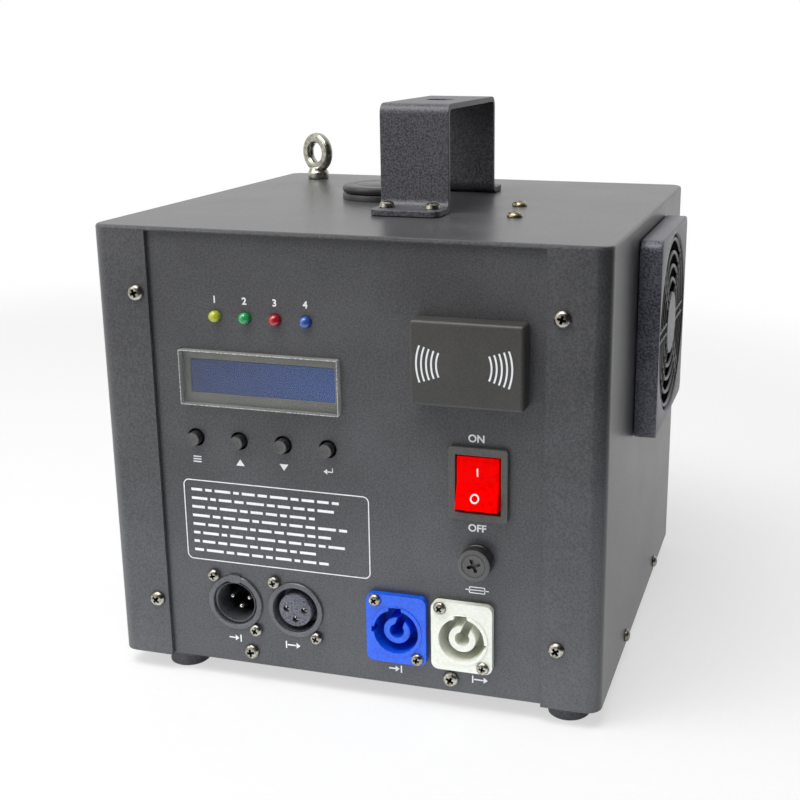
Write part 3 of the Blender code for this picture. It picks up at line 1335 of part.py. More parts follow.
def power_socket(name, x, key_angles, colour):
    """Twist lock socket: square flange, round mouth with two key notches and a slotted centre post."""
    frame = on_front(x, POWER_Z)
    flange_back = SEAT_GAP
    flange_front = flange_back + POWER_FLANGE
    size = (FLANGE_X_SIZE, FLANGE_Z_SIZE, POWER_FLANGE)
    obj = block(name, size, (0, 0, (flange_back + flange_front) / 2), frame, None, POWER_CORNER)
    front = flange_front + OVERLAP
    join(obj, rod("join_body_" + name, POWER_BODY_RADIUS, -POWER_DEPTH, front, frame, CUTTERS, 20))
    floor = flange_front - POWER_MOUTH_DEPTH
    post_top = flange_front - POWER_POST_SET
    mouth = tube("cut_mouth_" + name, POWER_MOUTH_RADIUS, POWER_POST_RADIUS, floor, 0.01, frame, CUTTERS, 20)
    cut(obj, mouth)
    cut(obj, rod("cut_post_" + name, POWER_POST_RADIUS + 0.0005, post_top, 0.011, frame, CUTTERS, 20))
    for number, angle in enumerate(key_angles):
        turn = frame @ Matrix.Rotation(math.radians(angle), 4, "Z")
        key = (POWER_KEY_DEPTH * 2, POWER_KEY_WIDTH, 0.01)
        centre = (POWER_MOUTH_RADIUS, 0, flange_front - 0.003)
        cut(obj, block(f"cut_key_{number}_{name}", key, centre, turn, CUTTERS))
    slot_turn = frame @ Matrix.Rotation(math.radians(key_angles[0]), 4, "Z")
    slot = (POWER_POST_RADIUS + 0.002, POWER_SLOT_WIDTH, 2 * POWER_SLOT_DEPTH)
    cut(obj, block("cut_slot_" + name, slot, (POWER_POST_RADIUS / 2, 0, post_top), slot_turn, CUTTERS))
    return paint(obj, colour, 0.35)


def switch_body():
    """Bezel and housing of the rocker switch, with the pocket that the rocker tips in."""
    frame = on_front(ROCKER_X, ROCKER_Z)
    back = SEAT_GAP
    front = back + BEZEL_THICKNESS
    size = (BEZEL_WIDTH, BEZEL_HEIGHT, BEZEL_THICKNESS)
    obj = block("switch_body", size, (0, 0, (back + front) / 2), frame, None, 0.0008, 2, 1)
    housing = (SWITCH_WIDTH, SWITCH_HEIGHT, SWITCH_DEPTH + 0.001)
    join(obj, block("join_switch_housing", housing, (0, 0, front - 0.001 - housing[2] / 2), frame, CUTTERS))
    window = (BEZEL_WINDOW_WIDTH, BEZEL_WINDOW_HEIGHT, SWITCH_POCKET * 2)
    cut(obj, block("cut_switch_window", window, (0, 0, front), frame, CUTTERS))
    for i in (-1, 1):
        pin_x = i * (BEZEL_WINDOW_WIDTH / 2)
        trunnion = frame @ Matrix.Translation((pin_x, 0, front - ROCKER_PIVOT_DEPTH - BEZEL_THICKNESS))
        trunnion = trunnion @ Matrix.Rotation(math.pi / 2, 4, "Y")
        reach = (BEZEL_WINDOW_WIDTH - ROCKER_WIDTH) / 2 - RUNNING_GAP / 2
        low, high = (-reach, 0.0005) if i > 0 else (-0.0005, reach)
        join(obj, rod(f"join_trunnion_{i}", 0.0016, low, high, trunnion, CUTTERS, 8))
    return paint(obj, *BLACK_PLASTIC)


def power_rocker():
    """Rocker tipped to its on side: its upper half is in and its lower half stands out."""
    pivot_depth = SEAT_GAP - ROCKER_PIVOT_DEPTH
    frame = on_front(ROCKER_X, ROCKER_Z) @ Matrix.Translation((0, 0, pivot_depth))
    tilted = frame @ Matrix.Rotation(-ROCKER_TILT, 4, "X")
    front = BEZEL_THICKNESS - pivot_depth
    end = front + ROCKER_END_PROUD - 0.002
    middle = front + ROCKER_MID_PROUD - 0.002
    outline = [
        (-ROCKER_HALF, end),
        (0, middle),
        (ROCKER_HALF, end),
        (ROCKER_HALF, -0.002),
        (ROCKER_HALF * 0.45, -ROCKER_BACK),
        (-ROCKER_HALF * 0.45, -ROCKER_BACK),
        (-ROCKER_HALF, -0.002),
    ]
    across = tilted @ Matrix(((0, 0, 1, 0), (1, 0, 0, 0), (0, 1, 0, 0), (0, 0, 0, 1)))
    obj = flat_outline("power_rocker", [outline], -ROCKER_WIDTH / 2, ROCKER_WIDTH / 2, across)
    return pivot(paint(obj, (0.55, 0.005, 0.005), 0.25), frame)


def fuse_holder():
    frame = on_front(FUSE_X, FUSE_Z)
    flange_front = SEAT_GAP + FUSE_FLANGE
    profile = [
        (FUSE_BORE_RADIUS, flange_front),
        (FUSE_FLANGE_RADIUS - 0.0004, flange_front),
        (FUSE_FLANGE_RADIUS, flange_front - 0.0004),
        (FUSE_FLANGE_RADIUS, SEAT_GAP),
        (FUSE_BODY_RADIUS, SEAT_GAP),
        (FUSE_BODY_RADIUS, -FUSE_BODY_DEPTH),
        (0, -FUSE_BODY_DEPTH),
        (0, -FUSE_BODY_DEPTH + 0.003),
        (FUSE_BORE_RADIUS, -FUSE_BODY_DEPTH + 0.003),
    ]
    obj = turned("fuse_holder", profile, frame, sides=20)
    return paint(soften(obj), *BLACK_PLASTIC)


def fuse_cap():
    """Slotted cap with a stem that holds the fuse."""
    frame = on_front(FUSE_X, FUSE_Z)
    back = SEAT_GAP + FUSE_FLANGE + SEAT_GAP
    front = back + FUSE_CAP_PROUD
    stem = FUSE_BORE_RADIUS - RUNNING_GAP
    profile = [
        (0, front),
        (FUSE_CAP_RADIUS - 0.0007, front),
        (FUSE_CAP_RADIUS, front - 0.0007),
        (FUSE_CAP_RADIUS, back),
        (stem, back),
        (stem, back - FUSE_STEM_LENGTH),
        (0, back - FUSE_STEM_LENGTH),
    ]
    obj = turned("fuse_cap", profile, frame, sides=20, closed=False)
    for turn in (0, 1):
        slot_frame = frame @ Matrix.Rotation(turn * math.pi / 2, 4, "Z")
        size = (FUSE_SLOT_LENGTH, FUSE_SLOT_WIDTH, 2 * FUSE_SLOT_DEPTH)
        cut(obj, block(f"cut_fuse_slot_{turn}", size, (0, 0, front), slot_frame, CUTTERS))
    return pivot(paint(soften(obj), *BLACK_PLASTIC), frame)


def glass_fuse():
    frame = on_front(FUSE_X, FUSE_Z)
    high = SEAT_GAP + FUSE_FLANGE + SEAT_GAP - FUSE_STEM_LENGTH - SEAT_GAP
    low = high - GLASS_FUSE_LENGTH
    ferrule = 0.005
    glass = GLASS_FUSE_RADIUS - 0.0002
    profile = [
        (0, high),
        (GLASS_FUSE_RADIUS, high),
        (GLASS_FUSE_RADIUS, high - ferrule),
        (glass, high - ferrule),
        (glass, low + ferrule),
        (GLASS_FUSE_RADIUS, low + ferrule),
        (GLASS_FUSE_RADIUS, low),
        (0, low),
    ]
    obj = turned("glass_fuse", profile, frame, sides=12, closed=False)
    return pivot(paint(soften(obj), *STEEL), frame)


# Electronics
def power_supply():
    """Box power supply with its terminal ledge at the front."""
    low = FLOOR_Z + SEAT_GAP
    frame = on_case(SUPPLY_X, SUPPLY_Y, low)
    size = (SUPPLY_WIDTH, SUPPLY_LENGTH, SUPPLY_HEIGHT)
    obj = block("power_supply", size, (0, 0, SUPPLY_HEIGHT / 2), frame)
    ledge = (SUPPLY_WIDTH + 0.002, 0.030, SUPPLY_HEIGHT)
    centre = (0, -SUPPLY_LENGTH / 2, SUPPLY_HEIGHT * 0.9)
    cut(obj, block("cut_supply_ledge", ledge, centre, frame, CUTTERS))
    return paint(obj, *ZINC)


def control_board():
    """Board on four standoffs with a few large components."""
    low = FLOOR_Z + SEAT_GAP
    frame = on_case(CONTROL_X, CONTROL_Y, low)
    board_z = CONTROL_STANDOFF + BOARD_THICKNESS / 2
    obj = block("control_board", (CONTROL_WIDTH, CONTROL_LENGTH, BOARD_THICKNESS), (0, 0, board_z), frame)
    for i in (-1, 1):
        for j in (-1, 1):
            inset = POST_INSET * 1.4
            offset = (i * (CONTROL_WIDTH / 2 - inset), j * (CONTROL_LENGTH / 2 - inset))
            join(obj, rod(f"join_standoff_{i}_{j}", POST_RADIUS, 0, board_z, frame, CUTTERS, 8, offset))
    chips = (
        (0.0, 0.010, 0.018, 0.018, 0.3),
        (-0.015, -0.022, 0.016, 0.012, 1.0),
        (0.016, -0.024, 0.010, 0.020, 0.8),
    )
    for number, (x, y, width, length, share) in enumerate(chips):
        height = CHIP_HEIGHT * share
        centre = (x, y, CONTROL_STANDOFF + BOARD_THICKNESS - 0.0003 + height / 2)
        join(obj, block(f"join_chip_{number}", (width, length, height), centre, frame, CUTTERS))
    return paint(obj, *BOARD_GREEN)


def build():
    cover()
    front_panel()
    rear_panel()
    base_tray()
    feet()
    carry_handle()
    handle_screws()
    eye_bolt()
    eye_bolt_nut()
    hopper()
    hopper_cap()
    feed_barrel()
    feed_screw()
    gears()
    feed_motor()
    feed_bracket()
    spark_chamber()
    heater_sleeve()
    outlet_nozzle()
    blower_housing()
    blower_impeller()
    for side, word in ((1, "right"), (-1, "left")):
        fan_frame(side, word)
        fan_rotor(side, word)
        fan_guard(side, word)
    lcd_window()
    lcd_module()
    push_buttons()
    button_board()
    indicator_lamps()
    remote_receiver()
    receiver_board()
    dmx_shell("dmx_in_shell", DMX_IN_X, DMX_MALE_BORE, DMX_MALE_MOUTH)
    dmx_in_insert()
    dmx_shell("dmx_out_shell", DMX_OUT_X, DMX_FEMALE_BORE, DMX_FEMALE_MOUTH)
    dmx_out_insert()
    power_socket("power_in_socket", POWER_IN_X, (90, 200), (0.01, 0.08, 0.65))
    power_socket("power_out_socket", POWER_OUT_X, (90, -15), (0.75, 0.76, 0.72))
    switch_body()
    power_rocker()
    fuse_holder()
    fuse_cap()
    glass_fuse()
    power_supply()
    control_board()


build()
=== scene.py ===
"""Stage spark machine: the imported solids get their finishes, and the small parts get their fine forms.

Lengths in the helpers are millimetres from the case's lower front left corner: x right, y back, z up.
"""
import math

import bmesh
import bpy
from mathutils import Matrix, Vector


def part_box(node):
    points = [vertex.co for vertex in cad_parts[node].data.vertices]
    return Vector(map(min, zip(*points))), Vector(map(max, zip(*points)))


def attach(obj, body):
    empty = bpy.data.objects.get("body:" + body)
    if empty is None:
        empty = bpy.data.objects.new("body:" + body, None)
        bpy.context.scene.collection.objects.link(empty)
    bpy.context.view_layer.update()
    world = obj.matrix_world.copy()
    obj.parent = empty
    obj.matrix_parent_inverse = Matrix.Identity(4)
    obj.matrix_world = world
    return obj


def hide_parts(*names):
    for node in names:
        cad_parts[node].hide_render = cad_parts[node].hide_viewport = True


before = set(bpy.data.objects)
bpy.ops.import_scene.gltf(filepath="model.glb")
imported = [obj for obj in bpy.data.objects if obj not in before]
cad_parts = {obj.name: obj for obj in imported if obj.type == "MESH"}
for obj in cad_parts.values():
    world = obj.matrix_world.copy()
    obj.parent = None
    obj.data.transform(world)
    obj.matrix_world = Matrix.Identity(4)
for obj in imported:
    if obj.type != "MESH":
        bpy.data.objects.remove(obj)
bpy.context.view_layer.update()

MM = 0.001
CASE = Vector(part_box("cover")[0])
CASE_WIDTH = 220.0
CASE_DEPTH = 212.0
CASE_TOP = 194.0
# The front panel stands behind the cover's flanges.
PANEL_Y = 1.8
FRONT, BACK, LEFT, RIGHT, UP = (0, -1, 0), (0, 1, 0), (-1, 0, 0), (1, 0, 0), (0, 0, 1)

# Middles of what sits on the panel, x and z.
FIRST_LAMP, LAMP_PITCH = (54.6, 157.7), 13.45
FIRST_KEY, KEY_PITCH = (42.5, 104.2), 20.1
SIGNAL_IN, SIGNAL_OUT = (57.0, 29.3), (85.5, 29.3)
POWER_IN, POWER_OUT = (132.5, 27.6), (161.3, 27.6)
DISPLAY_MIDDLE = (73.5, 131.2)
SCREEN_WIDTH, SCREEN_HEIGHT = 65.0, 14.6
REMOTE_MIDDLE = (164.2, 146.0)
FUSE_MIDDLE = (167.5, 62.2)

# The ink's lower face is sunk a little, so that no gap shows under it.
INK_DEPTH, INK_THICK = -0.02, 0.05
SIGN_LINE = 0.5
ARROW_LINE = 0.6


# Places

def at(x, y, z):
    """A point of the row frame, from millimetres measured from the case corner."""
    return CASE + Vector((x, y, z)) * MM


def placed(origin, right, up):
    """The matrix from a drawing in millimetres to the row frame: its x runs right, its y up and its z out."""
    right, up = Vector(right), Vector(up)
    turn = Matrix((right, up, right.cross(up))).transposed().to_4x4()
    return Matrix.Translation(origin) @ turn @ Matrix.Scale(MM, 4)


def on_panel(x, z, y=PANEL_Y):
    return placed(at(x, y, z), RIGHT, UP)


def on_top(x, y, z=CASE_TOP):
    return placed(at(x, y, z), RIGHT, BACK)


def on_side(side, y, z):
    """Side 1 is the right wall and side -1 the left one."""
    return placed(at(CASE_WIDTH if side > 0 else 0.0, y, z), (0, side, 0), UP)


def node_box(node):
    """Lowest and highest corner of a CAD node, in millimetres from the case corner."""
    low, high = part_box(node)
    return (Vector(low) - CASE) / MM, (Vector(high) - CASE) / MM


def over(node, z=CASE_TOP):
    """The place at a height, the top's if none is given, in line with a CAD node's middle."""
    low, high = node_box(node)
    middle = (low + high) / 2
    return on_top(middle.x, middle.y, z)


def round_spot(radius, degrees):
    """The point at a radius and an angle about a drawing's middle."""
    a = math.radians(degrees)
    return radius * math.cos(a), radius * math.sin(a)


# Materials

def hex_colour(code):
    """Linear RGBA from an sRGB hex value."""
    parts = [int(code[i:i + 2], 16) / 255 for i in (1, 3, 5)]
    return tuple(p / 12.92 if p <= 0.04045 else ((p + 0.055) / 1.055) ** 2.4 for p in parts) + (1.0,)


def feed(node, feeds):
    """Gives named or numbered inputs a value, a hex colour, a node's output, or a node for its first output."""
    for key, value in feeds.items():
        if isinstance(value, bpy.types.Node):
            value = value.outputs[0]
        elif isinstance(value, str) and value.startswith("#"):
            value = hex_colour(value)
        if isinstance(value, bpy.types.NodeSocket):
            node.id_data.links.new(value, node.inputs[key])
        else:
            node.inputs[key].default_value = value
    return node


def add(tree, kind, feeds=None, **settings):
    """One node with its settings and links."""
    made = tree.nodes.new(kind)
    for name, value in settings.items():
        setattr(made, name, value)
    return feed(made, feeds or {})


def surface(name, values):
    """A material, its node tree, its shader with plain values set, and the piece's own coordinates in metres."""
    material = bpy.data.materials.new(name)
    material.use_nodes = True
    tree = material.node_tree
    shader = feed(tree.nodes["Principled BSDF"], values)
    return material, tree, shader, add(tree, "ShaderNodeTexCoord").outputs["Object"]


def grained(name, dark, light, grain, height, rough, values, cloud=40.0, cloud_tone=0.25, contrast=0.2,
            recess=None):
    """A material whose fine grain, in millimetres, shifts its tone, its relief and its gloss, under a slow cloud.

    A recess colour is painted shade in the cross of a screw, where the mesh's attribute says so.
    """
    material, tree, shader, place = surface(name, values)
    fine = add(tree, "ShaderNodeTexNoise", {"Vector": place, "Scale": 1 / (grain * MM), "Detail": 2.0})
    slow = add(tree, "ShaderNodeTexNoise", {"Vector": place, "Scale": 1 / (cloud * MM), "Detail": 3.0})
    speck = add(tree, "ShaderNodeMapRange", {"Value": fine, 1: 0.5 - contrast, 2: 0.5 + contrast})
    drift = add(tree, "ShaderNodeMapRange", {"Value": slow, 1: 0.3, 2: 0.7, 3: -cloud_tone, 4: cloud_tone})
    share = add(tree, "ShaderNodeMath", {0: speck, 1: drift}, operation="ADD", use_clamp=True)
    tone = add(tree, "ShaderNodeMix", {0: share, 6: dark, 7: light}, data_type="RGBA")
    gloss = add(tree, "ShaderNodeMapRange", {"Value": share, 3: rough[0], 4: rough[1]})
    relief = add(tree, "ShaderNodeBump", {"Height": fine, "Strength": 1.0, "Distance": height * MM})
    if recess:
        # The recess colour is painted shade, laid where the mesh marks the hollow of the cross.
        deep = add(tree, "ShaderNodeAttribute", attribute_name="recess")
        tone = add(tree, "ShaderNodeMix", {0: deep.outputs["Fac"], 6: tone.outputs[2], 7: recess}, data_type="RGBA")
    feed(shader, {"Base Color": tone.outputs[2], "Roughness": gloss, "Normal": relief})
    return material


def clear_acrylic():
    """Clear cast acrylic cover with a faint smoky haze: only its edges and its reflections show."""
    # The light goes straight through the thin lens, so the display under it is lit as if by open air.
    material, tree, shader, place = surface("clear_acrylic", {"IOR": 1.49, "Alpha": 0.16})
    film = add(tree, "ShaderNodeTexNoise", {"Vector": place, "Scale": 1 / (6 * MM), "Detail": 4.0})
    gloss = add(tree, "ShaderNodeMapRange", {"Value": film, 1: 0.4, 2: 0.75, 3: 0.02, 4: 0.09})
    tint = add(tree, "ShaderNodeMapRange", {"Value": film, 3: 0.16, 4: 0.22})
    feed(shader, {"Base Color": tint, "Roughness": gloss})
    return material


def display_glass():
    """Unlit blue character display: violet-blue glass over faint rows of dots, painted darker towards its left end as
    shade from the room.
    """
    material, tree, shader, place = surface("display_glass", {"IOR": 1.52, "Roughness": 0.12})
    centred = add(tree, "ShaderNodeMapping", {"Vector": place, "Location": -Vector(at(73.5, 0, 131))})
    # The rows of dots are 0.7 mm apart.
    dots = add(tree, "ShaderNodeTexVoronoi", {"Vector": centred, "Scale": 1 / (0.7 * MM), "Randomness": 0.0})
    parts = add(tree, "ShaderNodeSeparateXYZ", {0: centred})
    across = add(tree, "ShaderNodeMapRange", {"Value": parts, 1: -SCREEN_WIDTH / 2 * MM, 2: SCREEN_WIDTH / 2 * MM})
    # The ramp across the glass paints shade: darker at its left end, lighter at its right.
    ramp = add(tree, "ShaderNodeValToRGB", {0: across})
    ramp.color_ramp.elements[0].color = hex_colour("#26447f")
    ramp.color_ramp.elements[1].color = hex_colour("#3863b0")
    soft = add(tree, "ShaderNodeMapRange", {"Value": dots.outputs["Distance"], 2: 0.9, 3: 0.98, 4: 1.02})
    tone = add(tree, "ShaderNodeMix", {0: 1.0, 6: ramp, 7: soft}, data_type="RGBA", blend_type="MULTIPLY")
    feed(shader, {"Base Color": tone.outputs[2]})
    return material


def circuit_laminate():
    """Green solder mask over copper: glossy, the tracks faintly lighter where copper lies under it."""
    material, tree, shader, place = surface("circuit_laminate", {"Roughness": 0.3, "IOR": 1.55})
    tracks = add(tree, "ShaderNodeTexVoronoi", {"Vector": place, "Scale": 1 / (3 * MM)}, distance="CHEBYCHEV")
    edge = add(tree, "ShaderNodeMapRange", {"Value": tracks.outputs["Distance"], 1: 0.3, 2: 0.45})
    tone = add(tree, "ShaderNodeMix", {0: edge, 6: "#0f3d22", 7: "#1b5a33"}, data_type="RGBA")
    feed(shader, {"Base Color": tone.outputs[2]})
    return material


def lamp_epoxy(name, dark, light):
    """Tinted epoxy dome of an unlit lamp: deep at the rim, paler in the middle, a sharp window of light on it."""
    material, tree, shader, place = surface(name, {"Roughness": 0.08, "IOR": 1.53, "Coat Weight": 0.5})
    facing = add(tree, "ShaderNodeLayerWeight", {"Blend": 0.45})
    haze = add(tree, "ShaderNodeTexNoise", {"Vector": place, "Scale": 1 / (1.2 * MM)})
    share = add(tree, "ShaderNodeMath", {0: facing.outputs["Facing"], 1: haze, 2: 0.1}, operation="MULTIPLY_ADD")
    tone = add(tree, "ShaderNodeMix", {0: share, 6: light, 7: dark}, data_type="RGBA")
    feed(shader, {"Base Color": tone.outputs[2]})
    return material


def fuse_tube_glass():
    """Clear glass tube of the fuse, faintly green at its rims."""
    material, tree, shader, place = surface("fuse_tube_glass", {"IOR": 1.5, "Transmission Weight": 0.9})
    streak = add(tree, "ShaderNodeTexNoise", {"Vector": place, "Scale": 1 / (2 * MM)})
    gloss = add(tree, "ShaderNodeMapRange", {"Value": streak, 3: 0.02, 4: 0.1})
    tint = add(tree, "ShaderNodeMix", {0: streak, 6: "#d8e6dd", 7: "#eef5f0"}, data_type="RGBA")
    feed(shader, {"Base Color": tint.outputs[2], "Roughness": gloss})
    return material


def woven_glass_sleeve():
    """Woven glass fibre round the heater: off-white yarn over and under yarn."""
    material, tree, shader, place = surface("woven_glass_sleeve", {"Roughness": 0.85, "IOR": 1.5})
    # The yarns are 1.2 mm wide.
    yarn = {"Vector": place, "Scale": 0.16 / (1.2 * MM), "Distortion": 1.0}
    weft = add(tree, "ShaderNodeTexWave", yarn, bands_direction="Z")
    warp = add(tree, "ShaderNodeTexWave", yarn, bands_direction="DIAGONAL")
    weave = add(tree, "ShaderNodeMath", {0: weft.outputs[1], 1: warp.outputs[1]}, operation="MAXIMUM")
    tone = add(tree, "ShaderNodeMix", {0: weave, 6: "#8f8a7c", 7: "#d9d4c4"}, data_type="RGBA")
    relief = add(tree, "ShaderNodeBump", {"Height": weave, "Strength": 0.6, "Distance": 0.2 * MM})
    feed(shader, {"Base Color": tone.outputs[2], "Normal": relief})
    return material


def rolled_aluminium():
    """Rolled aluminium sheet of the supply's case: pale grey with a fine rolling grain along its length."""
    material, tree, shader, place = surface("rolled_aluminium_sheet", {"Metallic": 1.0})
    drawn = add(tree, "ShaderNodeMapping", {"Vector": place, "Scale": (1 / (0.5 * MM), 1 / (30 * MM), 1 / (0.5 * MM))})
    grain = add(tree, "ShaderNodeTexNoise", {"Vector": drawn, "Scale": 1.0, "Detail": 3.0})
    tone = add(tree, "ShaderNodeMix", {0: grain, 6: "#9a9c9e", 7: "#c6c8c9"}, data_type="RGBA")
    gloss = add(tree, "ShaderNodeMapRange", {"Value": grain, 3: 0.28, 4: 0.48})
    feed(shader, {"Base Color": tone.outputs[2], "Roughness": gloss})
    return material


def ray_kinds(tree):
    """Whether a ray is the camera's own, and whether it comes by a mirror or through glass."""
    path = add(tree, "ShaderNodeLightPath").outputs
    mirrored = add(tree, "ShaderNodeMath", {0: path["Is Glossy Ray"], 1: path["Is Transmission Ray"]},
                   operation="MAXIMUM")
    return path["Is Camera Ray"], mirrored


def white_paper():
    """The floor's white paper, which the camera sees as pure white but for the object's own shade."""
    material, tree, shader, place = surface("white_paper_floor", {"Roughness": 0.9, "Specular IOR Level": 0.0})
    fibre = add(tree, "ShaderNodeTexNoise", {"Vector": place, "Scale": 1 / (4 * MM), "Detail": 3.0})
    tone = add(tree, "ShaderNodeMix", {0: fibre, 6: "#f4f4f4", 7: "#fdfdfd"}, data_type="RGBA")
    feed(shader, {"Base Color": tone.outputs[2]})
    direct, mirrored = ray_kinds(tree)
    seen = add(tree, "ShaderNodeMath", {0: mirrored, 1: direct}, operation="MAXIMUM")
    share = add(tree, "ShaderNodeMath", {0: seen, 1: 0.6}, operation="MULTIPLY")
    glow = add(tree, "ShaderNodeEmission", {"Color": (1.0, 1.0, 1.0, 1.0), "Strength": 1.0})
    both = add(tree, "ShaderNodeMixShader", {0: share, 1: shader, 2: glow})
    # The sheet of paper ends softly, so that no edge shows against the white of the room.
    reach = add(tree, "ShaderNodeVectorMath", {0: place, 1: (-0.22, 0.1, 0.0)}, operation="DISTANCE")
    fade = add(tree, "ShaderNodeMapRange", {"Value": reach.outputs["Value"], 1: 0.45, 2: 0.8},
               interpolation_type="SMOOTHSTEP")
    soft_end = add(tree, "ShaderNodeMixShader", {0: fade, 1: both, 2: add(tree, "ShaderNodeBsdfTransparent")})
    feed(tree.nodes["Material Output"], {"Surface": soft_end})
    return material


METAL = {"Metallic": 1.0}
ABS = {"IOR": 1.53}
POLYAMIDE = {"IOR": 1.53}

# Satin powder coat on folded steel: charcoal, its fine pebbles picking up the light at low angles.
COAT = grained("powder_coated_steel", "#3a3a3b", "#555558", 0.75, 0.012, (0.3, 0.4), {"IOR": 1.5})
# Coarse textured powder coat on the handle: matt dark pebbles, each with its own dull highlight.
HANDLE_COAT = grained("textured_powder_coat", "#2f2f33", "#626268", 0.75, 0.08, (0.38, 0.55), {"IOR": 1.5},
                      cloud_tone=0.12, contrast=0.13)
# Nickel plate on a forging: bright and slightly warm, with a faint orange-peel in its reflections.
NICKEL = grained("bright_nickel_plate", "#86857a", "#bdbbae", 2.2, 0.03, (0.16, 0.3), METAL, 9.0)
# Nickel-plated screw heads: bright domes, their crosses painted nearly black as shade.
SCREW = grained("plated_screw_steel", "#6f6a61", "#b5b0a5", 1.2, 0.01, (0.2, 0.34), METAL, 5.0, recess="#090909")
# Zinc plate with a yellow passivate on the two screws of the top: warm, brassy, a little patchy, their crosses painted
# nearly black as shade.
YELLOW_ZINC = grained("yellow_passivated_screw", "#6b6048", "#ada386", 1.1, 0.01, (0.22, 0.36), METAL, 5.0,
                      recess="#0c0a06")
# Stainless tube turned on a lathe: a fine grain that breaks up the highlights.
STAINLESS = grained("turned_stainless_steel", "#8c8c8c", "#b8b8b6", 0.4, 0.006, (0.25, 0.4), METAL, 12.0)
# Zinc plate with a clear passivate: cool grey with a faint blue cast, duller than nickel.
ZINC = grained("zinc_plated_steel", "#8f959b", "#b9bfc4", 1.5, 0.008, (0.3, 0.45), METAL, 14.0)
# Moulded rubber feet: matt dark grey with a bloom.
RUBBER = grained("moulded_rubber", "#48484d", "#6e6e74", 0.9, 0.02, (0.6, 0.75), {"IOR": 1.52}, 8.0)
# Injection moulded ABS with a spark-eroded grain: bluish black, scattered glints on its flats.
GRAINED = grained("grained_black_abs", "#2c2c33", "#6c6c78", 0.8, 0.09, (0.3, 0.5), ABS, 25.0, contrast=0.13)
# Smooth moulded black nylon: even, soft-edged highlights.
NYLON = grained("moulded_black_nylon", "#1c1c1d", "#2c2c2e", 1.2, 0.008, (0.32, 0.44), POLYAMIDE, 10.0)
# Satin ABS of the remote box, and of the switch and the keys: warm charcoal, a fine even mould texture.
CHARCOAL = grained("satin_charcoal_abs", "#353432", "#454341", 0.6, 0.012, (0.45, 0.56), ABS, 20.0)
SATIN = grained("satin_grey_abs", "#474544", "#595856", 0.6, 0.012, (0.45, 0.56), ABS, 20.0)
# Natural acetal gear: milky ivory, waxy, a little light passing through the teeth.
ACETAL = grained("natural_acetal", "#cfcabb", "#e4e0d4", 2.0, 0.006, (0.3, 0.42),
                 {"IOR": 1.48, "Subsurface Weight": 0.15, "Subsurface Scale": 0.001}, 15.0)
# Black plated zinc casting: the connector shells, dark with a hard narrow shine on the rims.
BLACK_ZINC = grained("black_plated_zinc", "#505053", "#636367", 0.9, 0.004, (0.26, 0.38), {"Metallic": 0.35}, 7.0)
# Blue glass-filled nylon: saturated, satin, faint flow marks from the mould.
BLUE = grained("blue_polyamide", "#084bd3", "#1166f3", 1.3, 0.01, (0.3, 0.42), POLYAMIDE, 9.0)
# White glass-filled nylon: slightly green-grey white, satin, faint flow marks.
WHITE = grained("white_polyamide", "#e4e5d8", "#f0f1e6", 1.3, 0.01, (0.32, 0.44), POLYAMIDE, 9.0)
# Clear red rocker: saturated red, with a faint red emission painted on so that it seems to glow.
RED = grained("clear_red_polycarbonate_painted_glow", "#e40000", "#ff0000", 2.0, 0.004, (0.16, 0.26),
              {"IOR": 1.58, "Specular IOR Level": 0.02, "Emission Color": "#ff0000", "Emission Strength": 0.12}, 8.0)
# A pale ribbon along the cover's cut edges: painted highlight standing for the room's light that the acrylic pipes out.
PAINTED_EDGE_HIGHLIGHT = grained("painted_edge_highlight", "#c8cac8", "#eceeec", 0.9, 0.004, (0.2, 0.35),
                  {"IOR": 1.49, "Transmission Weight": 0.35}, 8.0)
# The cover's side walls, sawn and left unpolished: cloudy, the panel only a blur behind them.
SAWN = grained("sawn_acrylic_wall", "#9ea09c", "#c7c9c4", 0.5, 0.01, (0.35, 0.5), {"IOR": 1.49, "Alpha": 0.5}, 8.0)
# Grey-olive painted bezel round the glass, seen through the cover.
SURROUND = grained("painted_display_bezel", "#767770", "#8b8c85", 0.6, 0.008, (0.4, 0.5), {"IOR": 1.5}, 12.0)
# Screen printed white ink: flat and chalky, the coat's pebbles breaking its edges.
INK = grained("white_screen_ink", "#ecedee", "#fbfbfb", 0.5, 0.01, (0.55, 0.7), {"IOR": 1.5}, 6.0)
# Silver-plated contacts: white and bright at the tips, tarnished to olive in the grain of the plating.
SILVER = grained("silver_plated_contact", "#a09f92", "#efeee6", 0.8, 0.004, (0.16, 0.28), METAL, 3.0)
ACRYLIC = clear_acrylic()
DISPLAY = display_glass()
LAMINATE = circuit_laminate()
GLASS = fuse_tube_glass()
SLEEVE = woven_glass_sleeve()
ALUMINIUM = rolled_aluminium()
LAMPS = {
    "heat_led": lamp_epoxy("yellow_lamp_epoxy", "#666714", "#c5cc3b"),
    "ready_led": lamp_epoxy("green_lamp_epoxy", "#0c4e27", "#27a760"),
    "error_led": lamp_epoxy("red_lamp_epoxy", "#4e0911", "#ba1a26"),
    "ok_led": lamp_epoxy("blue_lamp_epoxy", "#0e2152", "#345fb5"),
}


# Drawings, in millimetres

def eased(points, radius, steps=4):
    """A drawn line whose inner corners are rounded off over the given length."""
    out = [tuple(points[0])]
    for before, corner, after in zip(points, points[1:], points[2:]):
        p = Vector(corner)
        a, b = Vector(before) - p, Vector(after) - p
        start = p + a.normalized() * min(radius, a.length * 0.49)
        end = p + b.normalized() * min(radius, b.length * 0.49)
        for k in range(steps + 1):
            t = k / steps
            out.append(tuple((1 - t) ** 2 * start + 2 * t * (1 - t) * p + t * t * end))
    return out + [tuple(points[-1])]


